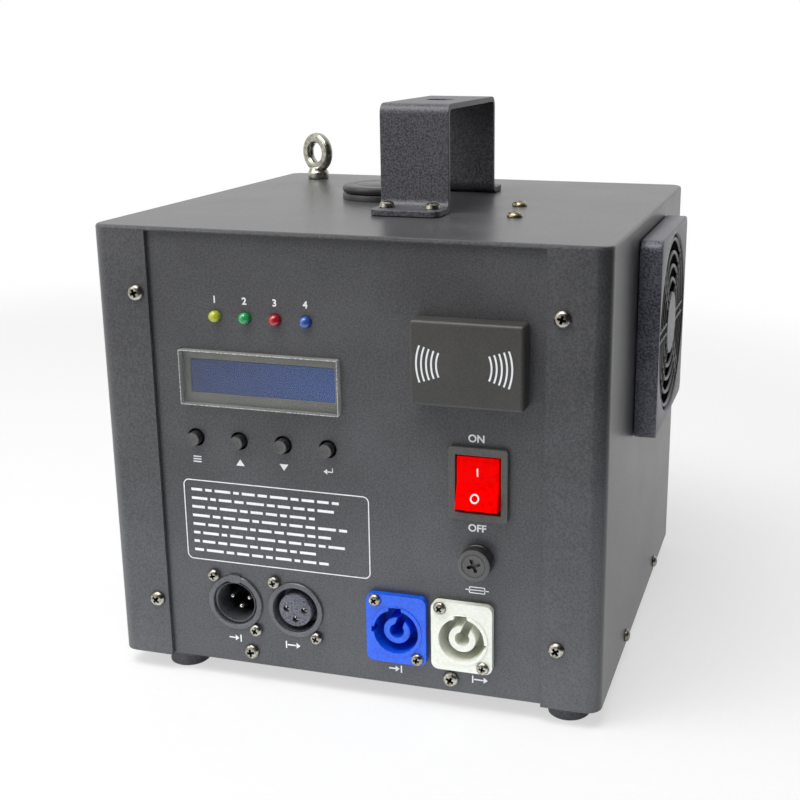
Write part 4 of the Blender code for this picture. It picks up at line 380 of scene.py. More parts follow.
def turned(bm, profile, sides=64, closed=False, centre=(0, 0)):
    """A turned form: (radius, height) pairs swept round the drawing's z axis."""
    rings = []
    for radius, height in profile:
        ring = []
        for k in range(sides if radius > 1e-6 else 1):
            a = 2 * math.pi * k / sides
            spot = (centre[0] + radius * math.cos(a), centre[1] + radius * math.sin(a), height)
            ring.append(bm.verts.new(spot))
        rings.append(ring)
    pairs = list(zip(rings, rings[1:]))
    if closed:
        pairs.append((rings[-1], rings[0]))
    for low, high in pairs:
        for k in range(sides):
            a, b = low[k % len(low)], low[(k + 1) % len(low)]
            c, d = high[(k + 1) % len(high)], high[k % len(high)]
            corners = list(dict.fromkeys((a, b, c, d)))
            if len(corners) > 2:
                bm.faces.new(corners)
    return bm


def outline(width, height, radius, steps=6, centre=(0, 0)):
    """A rectangle with round corners, going anticlockwise."""
    points = []
    for cx, cy, start in ((1, 1, 0), (-1, 1, 90), (-1, -1, 180), (1, -1, 270)):
        for k in range(steps + 1):
            a = math.radians(start + 90 * k / steps)
            points.append((centre[0] + cx * (width / 2 - radius) + radius * math.cos(a),
                           centre[1] + cy * (height / 2 - radius) + radius * math.sin(a)))
    return points


def prism(bm, bottom, top):
    """Closes two matching outlines, each a list of points, into a solid."""
    bottom = [bm.verts.new(point) for point in bottom]
    top = [bm.verts.new(point) for point in top]
    bm.faces.new(top)
    bm.faces.new(list(reversed(bottom)))
    count = len(top)
    for k in range(count):
        bm.faces.new((bottom[k], bottom[(k + 1) % count], top[(k + 1) % count], top[k]))
    return bm


def plate(bm, points, low=INK_DEPTH, high=INK_THICK):
    """A flat plate with the given outline, as thick as the ink unless said otherwise."""
    return prism(bm, [(x, y, low) for x, y in points], [(x, y, high) for x, y in points])


def ribbon(bm, points, width, low=INK_DEPTH, high=INK_THICK, closed=False):
    """A flat line along some points, as thick as the ink unless said otherwise."""
    count = len(points)
    left, right = [], []
    for i in range(count):
        p = Vector(points[i])
        before = Vector(points[(i - 1) % count]) if closed or i else p
        after = Vector(points[(i + 1) % count]) if closed or i < count - 1 else p
        way = (after - before).normalized()
        side = Vector((-way.y, way.x)) * width / 2
        left.append(p + side)
        right.append(p - side)
    grid = [[bm.verts.new((q.x, q.y, h)) for q in line] for h in (low, high) for line in (left, right)]
    low_left, low_right, high_left, high_right = grid
    for i in range(count if closed else count - 1):
        j = (i + 1) % count
        bm.faces.new((high_right[i], high_right[j], high_left[j], high_left[i]))
        bm.faces.new((low_left[i], low_left[j], low_right[j], low_right[i]))
        bm.faces.new((low_right[i], low_right[j], high_right[j], high_right[i]))
        bm.faces.new((high_left[i], high_left[j], low_left[j], low_left[i]))
    if not closed:
        bm.faces.new((low_left[0], low_right[0], high_right[0], high_left[0]))
        bm.faces.new((low_right[-1], low_left[-1], high_left[-1], high_right[-1]))
    return bm


# Meshes and pieces

def mesh_from(bm, matrix=None):
    """A mesh from a drawing, put in place, its faces turned outwards."""
    bmesh.ops.remove_doubles(bm, verts=bm.verts, dist=1e-5)
    if matrix is not None:
        bmesh.ops.transform(bm, matrix=matrix, verts=bm.verts)
    bmesh.ops.recalc_face_normals(bm, faces=bm.faces)
    return plain_mesh(bm)


def plain_mesh(bm):
    mesh = bpy.data.meshes.new("drawing")
    bm.to_mesh(mesh)
    bm.free()
    return mesh


def lathe(profile, sides=64, closed=False, matrix=None):
    return mesh_from(turned(bmesh.new(), profile, sides, closed), matrix)


def cylinder(radius, low, high, sides, matrix=None):
    return lathe([(0, low), (radius, low), (radius, high), (0, high)], sides, matrix=matrix)


def slab(points, low, high, matrix=None):
    return mesh_from(plate(bmesh.new(), points, low, high), matrix)


def linked(name, data):
    """An object at the scene's origin."""
    obj = bpy.data.objects.new(name, data)
    bpy.context.scene.collection.objects.link(obj)
    return obj


def settled(carrier):
    """The plain mesh of an object after its modifiers. The object goes."""
    graph = bpy.context.evaluated_depsgraph_get()
    made = bpy.data.meshes.new_from_object(carrier.evaluated_get(graph))
    bpy.data.objects.remove(carrier)
    return made


def with_modifiers(mesh, *steps):
    """The mesh after some modifiers, each given as (kind, settings)."""
    carrier = linked("bench", mesh)
    for kind, settings in steps:
        modifier = carrier.modifiers.new(kind.lower(), kind)
        for key, value in settings.items():
            setattr(modifier, key, value)
    return settled(carrier)


def cut(mesh, other, operation="DIFFERENCE", **settings):
    """The mesh with another solid cut from it, or joined to it."""
    tool = linked("tool", other)
    made = with_modifiers(mesh, ("BOOLEAN", {"object": tool, "operation": operation, "solver": "EXACT", **settings}))
    bpy.data.objects.remove(tool)
    return made


def softened(mesh, width, segments=3, angle=30.0):
    """The mesh with its sharp edges rounded over a small width, in the drawing's millimetres."""
    return with_modifiers(mesh, ("BEVEL", {"width": width, "segments": segments, "limit_method": "ANGLE",
                                           "angle_limit": math.radians(angle)}))


def riding(obj, body, replaces=()):
    """The piece rides its body and stands for the nodes it replaces."""
    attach(obj, body)
    if replaces:
        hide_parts(*replaces)
    return obj


def show(name, mesh, material, place=None, replaces=(), body="case", angle=35.0, second=None, choose=None):
    """A finished piece, put in its place and smooth between sharp edges; some of its faces may have a second finish."""
    if place is not None:
        mesh.transform(place)
    mesh.name = name
    obj = linked(name, mesh)
    mesh.materials.clear()
    mesh.materials.append(material)
    for face in mesh.polygons:
        face.use_smooth = True
    mesh.set_sharp_from_angle(angle=math.radians(angle))
    riding(obj, body, replaces)
    if second:
        mesh.materials.append(second)
        for face in mesh.polygons:
            if choose(face):
                face.material_index = 1
    return obj


# The nodes that keep their shape

def refined(node, material, body="case", bevel=0.0):
    """A copy of a CAD node with its triangles joined, its edges eased and its curves shaded smooth."""
    sharp = math.radians(32.0)
    bm = bmesh.new()
    bm.from_mesh(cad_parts[node].data)
    bmesh.ops.remove_doubles(bm, verts=bm.verts, dist=1e-6)
    bmesh.ops.dissolve_limit(bm, angle_limit=math.radians(0.6), verts=bm.verts, edges=bm.edges)
    mesh = plain_mesh(bm)
    for face in mesh.polygons:
        face.use_smooth = True
    mesh.set_sharp_from_angle(angle=sharp)
    steps = []
    if bevel:
        steps.append(("BEVEL", {"width": bevel * MM, "segments": 3, "limit_method": "ANGLE", "angle_limit": sharp,
                                "harden_normals": True}))
    steps.append(("WEIGHTED_NORMAL", {"keep_sharp": True, "weight": 90}))
    made = with_modifiers(mesh, *steps)
    made.name = node + "_finish"
    made.materials.clear()
    made.materials.append(material)
    return riding(linked(node + "_finish", made), body, (node,))


# Finish, width of the eased edges, and the nodes of the case that have it.
FIXED_NODES = (
    (COAT, 0.0, ("cover", "front_panel", "rear_panel", "base_tray")),
    (HANDLE_COAT, 0.25, ("carry_handle",)),
    (STAINLESS, 0.0, ("hopper", "feed_barrel", "spark_chamber")),
    (ZINC, 0.0, ("feed_bracket", "feed_motor")),
    (NYLON, 0.0, ("blower_housing",)),
    (CHARCOAL, 0.6, ("remote_receiver",)),
    (ALUMINIUM, 0.0, ("power_supply",)),
    (NYLON, 0.0, ("right_fan_frame", "left_fan_frame")),
    (NICKEL, 0.0, ("eye_bolt_nut",)),
    (SATIN, 0.25, ("switch_body",)),
    (NYLON, 0.0, ("fuse_holder",)),
    (SLEEVE, 0.0, ("heater_sleeve",)),
    (LAMINATE, 0.0, ("control_board", "button_board", "receiver_board")),
    (SCREW, 0.0, ("handle_screw_front_left", "handle_screw_front_right", "handle_screw_rear_left",
                  "handle_screw_rear_right")),
)
MOVING_NODES = {
    "feed_screw": ("feed", ZINC),
    "screw_gear": ("feed", ACETAL),
    "drive_gear": ("feed_drive", ZINC),
    "blower_impeller": ("blower_wheel", NYLON),
    "right_fan_rotor": ("right_fan", NYLON),
    "left_fan_rotor": ("left_fan", NYLON),
    "glass_fuse": ("fuse", GLASS),
}


def dress_nodes():
    for material, bevel, nodes in FIXED_NODES:
        for node in nodes:
            refined(node, material, bevel=bevel)
    for node, (body, material) in MOVING_NODES.items():
        refined(node, material, body)


# Geometry Nodes

def shape_tree(name, inputs):
    """A Geometry Nodes tree with its named inputs, and the outputs of the node that gives them."""
    tree = bpy.data.node_groups.new(name, "GeometryNodeTree")
    for label, kind in inputs.items():
        tree.interface.new_socket(label, in_out="INPUT", socket_type="NodeSocket" + kind)
    tree.interface.new_socket("Shape", in_out="OUTPUT", socket_type="NodeSocketGeometry")
    return tree, add(tree, "NodeGroupInput").outputs


def end_tree(tree, shape, finish):
    """The tree's shape is made real, gets its finish, and leaves the tree."""
    real = add(tree, "GeometryNodeRealizeInstances", {"Geometry": shape})
    coated = add(tree, "GeometryNodeSetMaterial", {"Geometry": real, "Material": finish})
    add(tree, "NodeGroupOutput", {"Shape": coated})
    return tree


def through_tree(mesh, tree, values):
    """The plain mesh that a Geometry Nodes tree makes from a mesh, with its named inputs set first."""
    carrier = linked("bench", mesh)
    modifier = carrier.modifiers.new("shape", "NODES")
    modifier.node_group = tree
    for item in tree.interface.items_tree:
        if item.in_out == "INPUT" and item.name in values:
            modifier[item.identifier] = values[item.name]
    carrier.update_tag()
    return settled(carrier)


# Screws

# What each screw's point carries: its outward direction, its drive angle and its own size.
SPOT_VALUES = (("out", "FLOAT_VECTOR"), ("drive", "FLOAT"), ("size", "FLOAT"))


def screw_head():
    """The pattern of a domed pan head with a cross recess, 7 mm across, its seat at height 0."""
    head = lathe(eased([(0, 2.3), (2.5, 2.1), (3.5, 0.9), (3.5, -0.1), (0, -0.1)], 0.9), 32)
    cross = bmesh.new()
    for half_length, half_width in ((1.95, 0.6), (0.6, 1.95)):
        corners = ((-1, -1), (1, -1), (1, 1), (-1, 1))
        prism(cross, [(x * half_length * 0.5, y * half_width * 0.6, 0.3) for x, y in corners],
              [(x * half_length, y * half_width, 2.6) for x, y in corners])
    head = cut(head, mesh_from(cross), use_self=True)
    # The recess attribute marks the hollow of the cross, where the finish paints shade.
    head.attributes.new("recess", "FLOAT", "POINT")
    for vertex in head.vertices:
        inside = 0.1 < vertex.co.z < 1.4 and vertex.co.xy.length < 2.2
        head.attributes["recess"].data[vertex.index].value = 1.0 if inside else 0.0
    return linked("screw_head_pattern", head)


def fastener_tree():
    """Puts one head on each point, turned to the point's own outward direction and drive angle."""
    tree, given = shape_tree("fasteners", {"Places": "Geometry", "Head": "Object", "Size": "Float",
                                           "Finish": "Material"})
    head = add(tree, "GeometryNodeObjectInfo", {"Object": given["Head"], "As Instance": True})
    out, drive, own_size = [add(tree, "GeometryNodeInputNamedAttribute", {"Name": name}, data_type=kind)
                            for name, kind in SPOT_VALUES]
    aimed = add(tree, "FunctionNodeAlignEulerToVector", {"Vector": out}, axis="Z")
    spin = add(tree, "ShaderNodeCombineXYZ", {"Z": drive})
    driven = add(tree, "FunctionNodeRotateEuler", {"Rotation": aimed, "Rotate By": spin}, rotation_type="EULER",
                 space="LOCAL")
    size = add(tree, "ShaderNodeMath", {0: own_size, 1: given["Size"]}, operation="MULTIPLY")
    heads = add(tree, "GeometryNodeInstanceOnPoints", {
        "Points": given["Places"], "Instance": head.outputs["Geometry"], "Rotation": driven, "Scale": size})
    return end_tree(tree, heads, given["Finish"])


def fasteners(name, spots, material, head, tree):
    """Screws at (place, outward direction, drive angle in degrees, size) in one piece."""
    mesh = bpy.data.meshes.new("places")
    mesh.from_pydata([spot[0] for spot in spots], [], [])
    for key, kind in SPOT_VALUES:
        mesh.attributes.new(key, kind, "POINT")
    for i, (spot, way, angle, scale) in enumerate(spots):
        mesh.attributes["out"].data[i].vector = way
        mesh.attributes["drive"].data[i].value = math.radians(angle)
        mesh.attributes["size"].data[i].value = scale
    show(name, through_tree(mesh, tree, {"Head": head, "Size": MM, "Finish": material}), material)


def screws():
    head, tree = screw_head(), fastener_tree()
    spots = []
    for x, z, angle in ((19.6, 166, 20), (19.6, 27.2, 50), (201.4, 165.7, 75), (201.4, 27, 35)):
        spots.append((at(x, 0.0, z), FRONT, angle, 1.0))
        spots.append((at(x, CASE_DEPTH, z), BACK, angle + 30, 1.0))
    for x, z, angle in ((63.7, 6.4, 10), (155.7, 6.4, 60)):
        spots.append((at(x, PANEL_Y, z), FRONT, angle, 1.0))
    for y, angle in ((65.7, 30), (154.2, 70)):
        spots.append((at(CASE_WIDTH, y, 4.8), RIGHT, angle, 0.85))
        spots.append((at(0.0, y, 4.8), LEFT, angle + 40, 0.85))
    fasteners("case_screws", spots, SCREW, head, tree)
    small = []
    # Each connector has a screw at its upper left and lower right corner.
    for middles, y, across, up, angles in (((SIGNAL_IN, SIGNAL_OUT), 0.9, 9.5, 12, (15, 65)),
                                           ((POWER_IN, POWER_OUT), -1.4, 9.3, 12.6, (40, 80))):
        for x, z in middles:
            small.append((at(x - across, y, z + up), FRONT, angles[0], 0.8))
            small.append((at(x + across, y, z - up), FRONT, angles[1], 0.8))
    fasteners("connector_screws", small, SCREW, head, tree)
    yellow = [(at(158.3, 105, CASE_TOP), UP, 25, 1.0), (at(165, 69, CASE_TOP), UP, 70, 1.0)]
    fasteners("top_screws", yellow, YELLOW_ZINC, head, tree)
    bpy.data.objects.remove(head)


# Printing

def words(bm, text, x, z, height):
    """Generic lettering, slightly bold, centred on a place, as raised ink."""
    curve = bpy.data.curves.new("lettering", "FONT")
    curve.body = text
    curve.size = height / 0.73
    curve.align_x = curve.align_y = "CENTER"
    curve.offset = 0.12
    drawn = bmesh.new()
    drawn.from_mesh(settled(linked("lettering", curve)))
    bmesh.ops.remove_doubles(drawn, verts=drawn.verts, dist=1e-4)
    grown = bmesh.ops.extrude_face_region(drawn, geom=drawn.faces[:])
    verts = [part for part in grown["geom"] if isinstance(part, bmesh.types.BMVert)]
    bmesh.ops.translate(drawn, verts=verts, vec=(0, 0, INK_THICK - INK_DEPTH))
    bmesh.ops.translate(drawn, verts=drawn.verts, vec=(x, z, INK_DEPTH))
    # The extrusion's parts come in an order that changes from run to run, so they are put in order by place.
    corners = sorted(drawn.verts, key=lambda vertex: tuple(vertex.co))
    number = {vertex: i for i, vertex in enumerate(corners)}
    faces = sorted(([number[vertex] for vertex in face.verts] for face in drawn.faces), key=sorted)
    letters = bpy.data.meshes.new("lettering")
    letters.from_pydata([vertex.co for vertex in corners], [], faces)
    drawn.free()
    bm.from_mesh(letters)


def printing():
    """The marks on the front panel: numbers at the lamps, signs at the keys, ON and OFF, and a ruled block."""
    bm = bmesh.new()
    for i in range(4):
        words(bm, str(i + 1), FIRST_LAMP[0] + LAMP_PITCH * i, 164.6, 3.0)
    words(bm, "ON", 166.9, 114.2, 3.2)
    words(bm, "OFF", 167.2, 75.9, 3.2)
    ribbon(bm, outline(85.0, 36.7, 2.5, 8, (77.7, 66.35)), 0.45, closed=True)
    button_signs(bm)
    connector_signs(bm)
    notice_block(bm)
    show("panel_printing", mesh_from(bm, on_panel(0, 0)), INK)
    box_front = node_box("remote_receiver")[0].y
    show("remote_printing", mesh_from(remote_waves(), on_panel(0, 0, box_front)), INK)


def button_signs(bm):
    """Signs under the keys: three lines, up, down and a return arrow."""
    z = 94.4
    for k in (-1, 0, 1):
        ribbon(bm, [(40.6, z + 1.15 * k), (44.4, z + 1.15 * k)], SIGN_LINE)
    plate(bm, [(60.6, z - 1.3), (64.6, z - 1.3), (62.6, z + 1.6)])
    plate(bm, [(82.7, z - 1.6), (84.7, z + 1.3), (80.7, z + 1.3)])
    ribbon(bm, [(104.6, z + 1.5), (104.6, z - 0.2), (101.9, z - 0.2)], SIGN_LINE)
    plate(bm, [(100.6, z - 0.2), (102.2, z - 1.4), (102.2, z + 1.0)])


def connector_signs(bm):
    """An arrow under each connector, going into a bar or coming out of it, and the sign of a fuse."""
    for x, z, tip, bar in ((55.5, 12.0, 2.2, 3.0), (83.5, 12.0, 3.4, -3.2), (130.5, 7.6, 2.2, 3.0),
                           (168.5, 7.6, 3.4, -3.2)):
        ribbon(bm, [(x - 2.6, z), (x + 0.6, z)], ARROW_LINE)
        plate(bm, [(x + tip, z), (x + tip - 1.8, z + 1.4), (x + tip - 1.8, z - 1.4)])
        if bar < 0:
            ribbon(bm, [(x + 0.4, z), (x + 1.8, z)], ARROW_LINE)
        ribbon(bm, [(x + bar, z - 1.7), (x + bar, z + 1.7)], ARROW_LINE)
    ribbon(bm, outline(6.6, 2.6, 0.3, 2, (167.2, 48.6)), 0.45, closed=True)
    ribbon(bm, [(162.2, 48.6), (172.2, 48.6)], 0.45)


def notice_block(bm):
    """Plain bars of word length inside the ruled block, standing where a notice would be."""
    lengths = (5.2, 3.1, 7.4, 2.6, 6.0, 4.3, 8.1, 3.6, 5.7)
    gap = 1.4
    for row, end in enumerate((114.0, 106.0, 99.0, 117.0, 103.0, 113.0, 97.0, 108.0)):
        x, z, k = 38.6, 80.4 - 4.0 * row, 2 * row
        while x + lengths[k % 9] < end:
            ribbon(bm, [(x, z), (x + lengths[k % 9], z)], 1.2)
            x += lengths[k % 9] + gap
            k += 1


def remote_waves():
    """Five arcs each side of the receiver, standing for radio waves."""
    bm = bmesh.new()
    for side in (-1, 1):
        for k in range(5):
            radius, spread = 12.6 + 2.05 * k, 23.0 - 0.5 * k
            points = []
            for step in range(13):
                u, v = round_spot(radius, -spread + 2 * spread * step / 12)
                points.append((REMOTE_MIDDLE[0] + side * (u - 1.4), REMOTE_MIDDLE[1] + v))
            ribbon(bm, points, 0.75)
    return bm


# Fine forms of the panel

def indicator_lamps():
    """Four 5 mm lamps: clear-tipped domes standing out of the panel."""
    radius, foot = 2.5, 0.9
    dome = [(radius * math.sin(math.radians(a)), foot + radius * math.cos(math.radians(a))) for a in range(0, 91, 9)]
    collar = [(radius, -1.5), (3.25, -1.5), (3.25, -2.5), (radius, -2.6), (radius, -5.4), (0, -5.4)]
    for i, (node, epoxy) in enumerate(LAMPS.items()):
        place = on_panel(FIRST_LAMP[0] + LAMP_PITCH * i, FIRST_LAMP[1])
        show(node + "_dome", lathe(dome + collar, 40), epoxy, place, (node,))


def push_buttons():
    """Four round keys with a slightly dished face and a moulded ring on it; their sides are painted black as the shade
    in the panel's holes.
    """
    face = [(0, 3.28), (0.8, 3.3), (0.95, 3.42), (1.1, 3.3), (2.3, 3.38), (2.6, 3.5), (2.85, 3.42), (3.0, 3.15)]
    stem = [(3.0, -4.0), (1.4, -4.0), (1.4, -7.0), (0, -7.0)]
    for i, word in enumerate(("menu", "up", "down", "enter")):
        # Faces that don't face front take black nylon: painted shade on the keys' sides.
        show(word + "_key", lathe(face + stem, 40), SATIN, on_panel(FIRST_KEY[0] + KEY_PITCH * i, FIRST_KEY[1]),
             (word + "_button",), word, second=NYLON, choose=lambda face: face.normal.y > -0.5)


def signal_shell(node, spot, mouth, bore, tab=False):
    """Panel connector shell: a rounded rim, a dark step inside it and a bright lip at its bore."""
    place = on_panel(*spot)
    rim = [(11.8, -1.0), (11.8, 0.02), (12.7, 0.02), (12.7, 0.75), (12.45, 1.1), (mouth + 0.35, 1.2), (mouth, 0.95)]
    step = [(mouth - 0.15, -0.9), (bore + 0.75, -1.15), (bore + 0.45, 0.1), (bore + 0.15, 0.15), (bore, -0.1)]
    back = [(bore, -12.0), (11.2, -12.0), (11.2, -1.5)]
    flange = cut(slab(outline(26.5, 31.5, 2.5), -3.0, -1.5), cylinder(11.0, -4, 0, 72))
    show(node + "_rear_flange", flange, BLACK_ZINC, place)
    if tab:
        show(node + "_latch_tab", slab(outline(5.6, 3.4, 0.5, 3, (0.4, 11.5)), 0.0, 1.3), BLACK_ZINC, place)
    show(node + "_rim", lathe(rim + step + back, 72, closed=True), BLACK_ZINC, place, (node,))


def signal_connectors():
    """Three-pole inlet with pins and outlet with sockets, each in its shell."""
    signal_shell("dmx_in_shell", SIGNAL_IN, 10.3, 8.8, tab=True)
    signal_shell("dmx_out_shell", SIGNAL_OUT, 10.4, 10.0)
    inlet, outlet_place = on_panel(*SIGNAL_IN), on_panel(*SIGNAL_OUT)
    poles = [round_spot(4.1, a) for a in (4, 176, 270)]
    mirrored = [(-x, y) for x, y in poles]
    show("signal_in_floor", cylinder(8.7, -18.8, -24.0, 48), NYLON, inlet, ("dmx_in_insert",))
    pins, holes, clips = bmesh.new(), bmesh.new(), bmesh.new()
    for spot in poles:
        turned(pins, [(0, -4.2), (0.5, -4.3), (1.0, -4.8), (1.25, -5.7), (1.25, -18.8), (0, -18.8)], 20, centre=spot)
    show("signal_in_pins", mesh_from(pins), SILVER, inlet)
    for spot in mirrored:
        turned(holes, [(0, 3), (1.75, 3), (1.4, 0.6), (1.35, -8.0), (0, -8.0)], 20, centre=spot)
        turned(clips, [(1.3, -1.2), (1.3, -7.8), (0.9, -7.8), (0.85, -1.4)], 20, closed=True, centre=spot)
    core = lathe([(0, 0.95), (7.1, 0.95), (7.45, 0.8), (7.6, 0.45), (7.6, -9.0), (9.7, -9.0), (9.7, -22.0),
                  (0, -22.0)], 72)
    show("signal_out_core", cut(core, mesh_from(holes)), GRAINED, outlet_place, ("dmx_out_insert",))
    show("signal_out_clips", mesh_from(clips), SILVER, outlet_place)


def power_socket(node, spot, keys, finish):
    """Power socket that locks by turning: rounded flange, raised ring, a mouth with keyways and a slotted post."""
    front, mouth_radius = 3.3, 9.9
    top = front - 1.0
    place = on_panel(*spot)
    # The round mouth sits a little below the middle of its flange.
    low = Matrix.Translation((0, -1.0, 0))
    barrel = lathe([(0, -26.0), (11.2, -26.0), (11.2, front - 0.3), (11.5, front - 0.2), (11.5, front + 0.25),
                    (11.3, front + 0.4), (0, front + 0.4)], 72, matrix=low)
    solid = cut(slab(outline(26.5, 31.0, 3.2, 8), 0.3, front), barrel, "UNION")
    solid = cut(solid, cylinder(mouth_radius, front - 15, 9, 72, low))
    for angle, width, depth in keys:
        turn = low @ Matrix.Rotation(math.radians(angle), 4, "Z") @ Matrix.Translation((mouth_radius, 0, 0))
        corners = [(-1.2, -width / 2), (depth, -width / 2), (depth, width / 2), (-1.2, width / 2)]
        solid = cut(solid, slab(corners, front - 6.0, 9.0, turn))
    post = lathe([(0, front - 15.2), (5.9, front - 15.2), (5.9, top - 0.3), (5.6, top), (0, top)], 64, matrix=low)
    post = cut(post, cylinder(3.2, top - 11, 9, 48, low))
    turn = low @ Matrix.Rotation(math.radians(keys[0][0] - 22), 4, "Z")
    post = cut(post, slab([(0, -1.8), (7, -1.8), (7, 1.8), (0, 1.8)], top - 11, 9.0, turn))
    solid = softened(cut(solid, post, "UNION"), 0.12, 2)
    show(node + "_moulding", solid, finish, place, (node,))
    blades = bmesh.new()
    for angle in (20, 135, 215):
        c, s = round_spot(1.0, angle)
        corners = [(9.35, -1.5), (9.85, -1.5), (9.85, 1.5), (9.35, 1.5)]
        plate(blades, [(u * c - v * s, u * s + v * c) for u, v in corners], front - 14, front - 8.5)
    show(node + "_contacts", mesh_from(blades, low), SILVER, place)


def fuse_knob():
    """Round fuse cap with a turned ring on its face and a cross slot for a driver; its sides and slot walls are painted
    black as shade.
    """
    face = [(0, 6.7), (4.55, 6.7), (4.7, 6.45), (5.0, 6.45), (5.15, 6.7), (6.3, 6.7), (6.8, 6.4), (7.0, 5.8)]
    cap = lathe(face + [(7.0, 2.1), (3.1, 2.1), (3.1, -3.9), (0, -3.9)], 56)
    for angle in (22.0, 112.0):
        cap = cut(cap, slab(outline(5.8, 1.5, 0.3, 2), 5.2, 9.0, Matrix.Rotation(math.radians(angle), 4, "Z")))
    # Faces that don't face front take black nylon: painted shade on the cap's sides and in its slots.
    show("fuse_knob_cap", cap, SATIN, on_panel(*FUSE_MIDDLE), ("fuse_cap",), "fuse_knob", second=NYLON,
         choose=lambda face: face.normal.y > -0.4)


def rocker():
    """Red rocker with its two signs, I and O, printed in white."""
    key = refined("power_rocker", RED, "rocker", 0.35)
    line, depth = 0.62, -0.03
    bm = bmesh.new()
    ribbon(bm, [(167.9, 102.6), (168.0, 99.2)], line, depth)
    ring = [round_spot(1.6, a) for a in range(0, 360, 12)]
    ribbon(bm, [(167.3 + u, 90.4 + v) for u, v in ring], line, depth, closed=True)
    bmesh.ops.transform(bm, matrix=on_panel(0, 0, 0), verts=bm.verts)
    show("rocker_signs", plain_mesh(laid_on(bm, key)), INK, body="rocker")


def laid_on(bm, obj):
    """Marks drawn about the front settle on a piece: every point moves back until it meets the surface."""
    bpy.context.evaluated_depsgraph_get().update()
    for vertex in bm.verts:
        start = Vector((vertex.co.x, vertex.co.y - 0.05, vertex.co.z))
        hit, place, *_ = obj.ray_cast(start, BACK)
        if hit:
            vertex.co.y = place.y + (vertex.co.y - CASE.y)
    return bm


def display():
    """Blue display under a clear cover: glass, its grey surround, and a pale ribbon painted as the highlight on the
    cover's polished edges.
    """
    low, high = node_box("lcd_window")
    middle = (low + high) / 2
    width, height = high.x - low.x, high.z - low.z
    place = on_panel(middle.x, middle.z)
    cover = softened(slab(outline(width, height, 0.35, 2), -1.2, 3.0), 0.18, 2)
    show("display_cover", cover, ACRYLIC, place, ("lcd_window",), second=SAWN,
         choose=lambda face: abs(face.normal.y) < 0.5)
    # A pale ribbon round the cover's face is painted highlight on its polished edges.
    edges = ribbon(bmesh.new(), outline(width - 0.34, height - 0.34, 0.3, 2), 0.3, 2.97, 3.03, closed=True)
    show("display_cover_edge", mesh_from(edges), PAINTED_EDGE_HIGHLIGHT, place)
    screen = slab(outline(SCREEN_WIDTH, SCREEN_HEIGHT, 0.4, 2), -3.4, -1.9)
    show("display_screen", screen, DISPLAY, on_panel(73.6, 131.0))
    surround = cut(slab(outline(width + 2, height + 2, 0.5, 2), -3.0, -1.5),
                   slab(outline(65.2, 14.8, 0.4, 2), -4.0, 0.0))
    show("display_surround", softened(surround, 0.25, 2), SURROUND, on_panel(*DISPLAY_MIDDLE))
    board = plate(bmesh.new(), outline(80.0, 36.0, 0.8, 3), -8.6, -7.0)
    plate(board, outline(74.0, 27.0, 0.5, 2), -7.0, -3.0)
    show("display_board", mesh_from(board), LAMINATE, on_panel(*DISPLAY_MIDDLE), ("lcd_module",))


# Fine forms of the top, the sides and the floor

def eye_bolt():
    """Forged lifting eye: the ring flows through a short neck into its collar."""
    ring_z = node_box("eye_bolt")[1].z - CASE_TOP - 10.45
    ring_radius, wire = 7.7, 2.72
    c, s = round_spot(1.0, -26.5)
    around, across = 64, 24
    bm = bmesh.new()
    for i in range(around):
        a = 2 * math.pi * i / around
        for k in range(across):
            b = 2 * math.pi * k / across
            # The forging's section is flatter on its outside and sides than a round wire.
            reach = ring_radius + wire * math.copysign(abs(math.cos(b)) ** 0.8, math.cos(b))
            side = wire * math.copysign(abs(math.sin(b)) ** 0.8, math.sin(b))
            u = reach * math.cos(a)
            bm.verts.new((u * c - side * s, u * s + side * c, ring_z + reach * math.sin(a)))
    bm.verts.ensure_lookup_table()
    for i in range(around):
        for k in range(across):
            j, m = (i + 1) % around, (k + 1) % across
            bm.faces.new([bm.verts[n] for n in (i * across + k, j * across + k, j * across + m, i * across + m)])
    bmesh.ops.recalc_face_normals(bm, faces=bm.faces)
    turned(bm, [(0, 0.2), (5.4, 0.2), (5.65, 0.5), (5.65, 3.3), (5.3, 3.9), (4.9, 4.8), (4.5, 6.4), (0, 6.4)], 48)
    turned(bm, [(0, -9.6), (2.2, -9.6), (2.45, -9.3), (2.45, 1.0), (0, 1.0)], 32)
    made = with_modifiers(mesh_from(bm), ("REMESH", {"mode": "VOXEL", "voxel_size": 0.34}),
                          ("SMOOTH", {"factor": 0.5, "iterations": 4}))
    show("eye_bolt_forging", made, NICKEL, over("eye_bolt"), ("eye_bolt",), angle=60.0)


def hopper_cap():
    """Round cap of the hopper, its edge rolled over and its face faintly turned, and the collar that it sits on."""
    place = over("hopper_cap")
    low, top = (corner.z - CASE_TOP for corner in node_box("hopper_cap"))
    edge = [(0, top), (14.0, top), (14.3, top - 0.12), (14.6, top), (19.3, top - 0.05), (20.2, top - 0.5),
            (20.6, top - 1.4), (20.5, top - 2.6), (20.0, top - 3.3)]
    skirt = [(16.4, top - 3.35), (16.4, low), (14.9, low), (14.9, top - 3.0), (0, top - 3.0)]
    show("hopper_cap_turned", lathe(edge + skirt, 80), NYLON, place, ("hopper_cap",), "lid")
    collar = [(19.85, 0.2), (19.85, 2.8), (20.3, 2.8), (20.5, 2.4), (20.5, 0.2)]
    show("hopper_collar", lathe(collar, 80, closed=True), NYLON, place)


def outlet():
    """Stainless outlet the sparks leave by: a rolled mouth on a thin flange."""
    low = node_box("outlet_nozzle")[0].z - CASE_TOP
    rim = [(10.0, 1.6), (10.6, 2.25), (13.4, 2.3), (13.95, 1.8), (14.0, 0.3), (12.2, 0.3), (12.2, low), (10.0, low)]
    show("outlet_nozzle_turned", lathe(rim, 72, closed=True), STAINLESS, over("outlet_nozzle"), ("outlet_nozzle",))


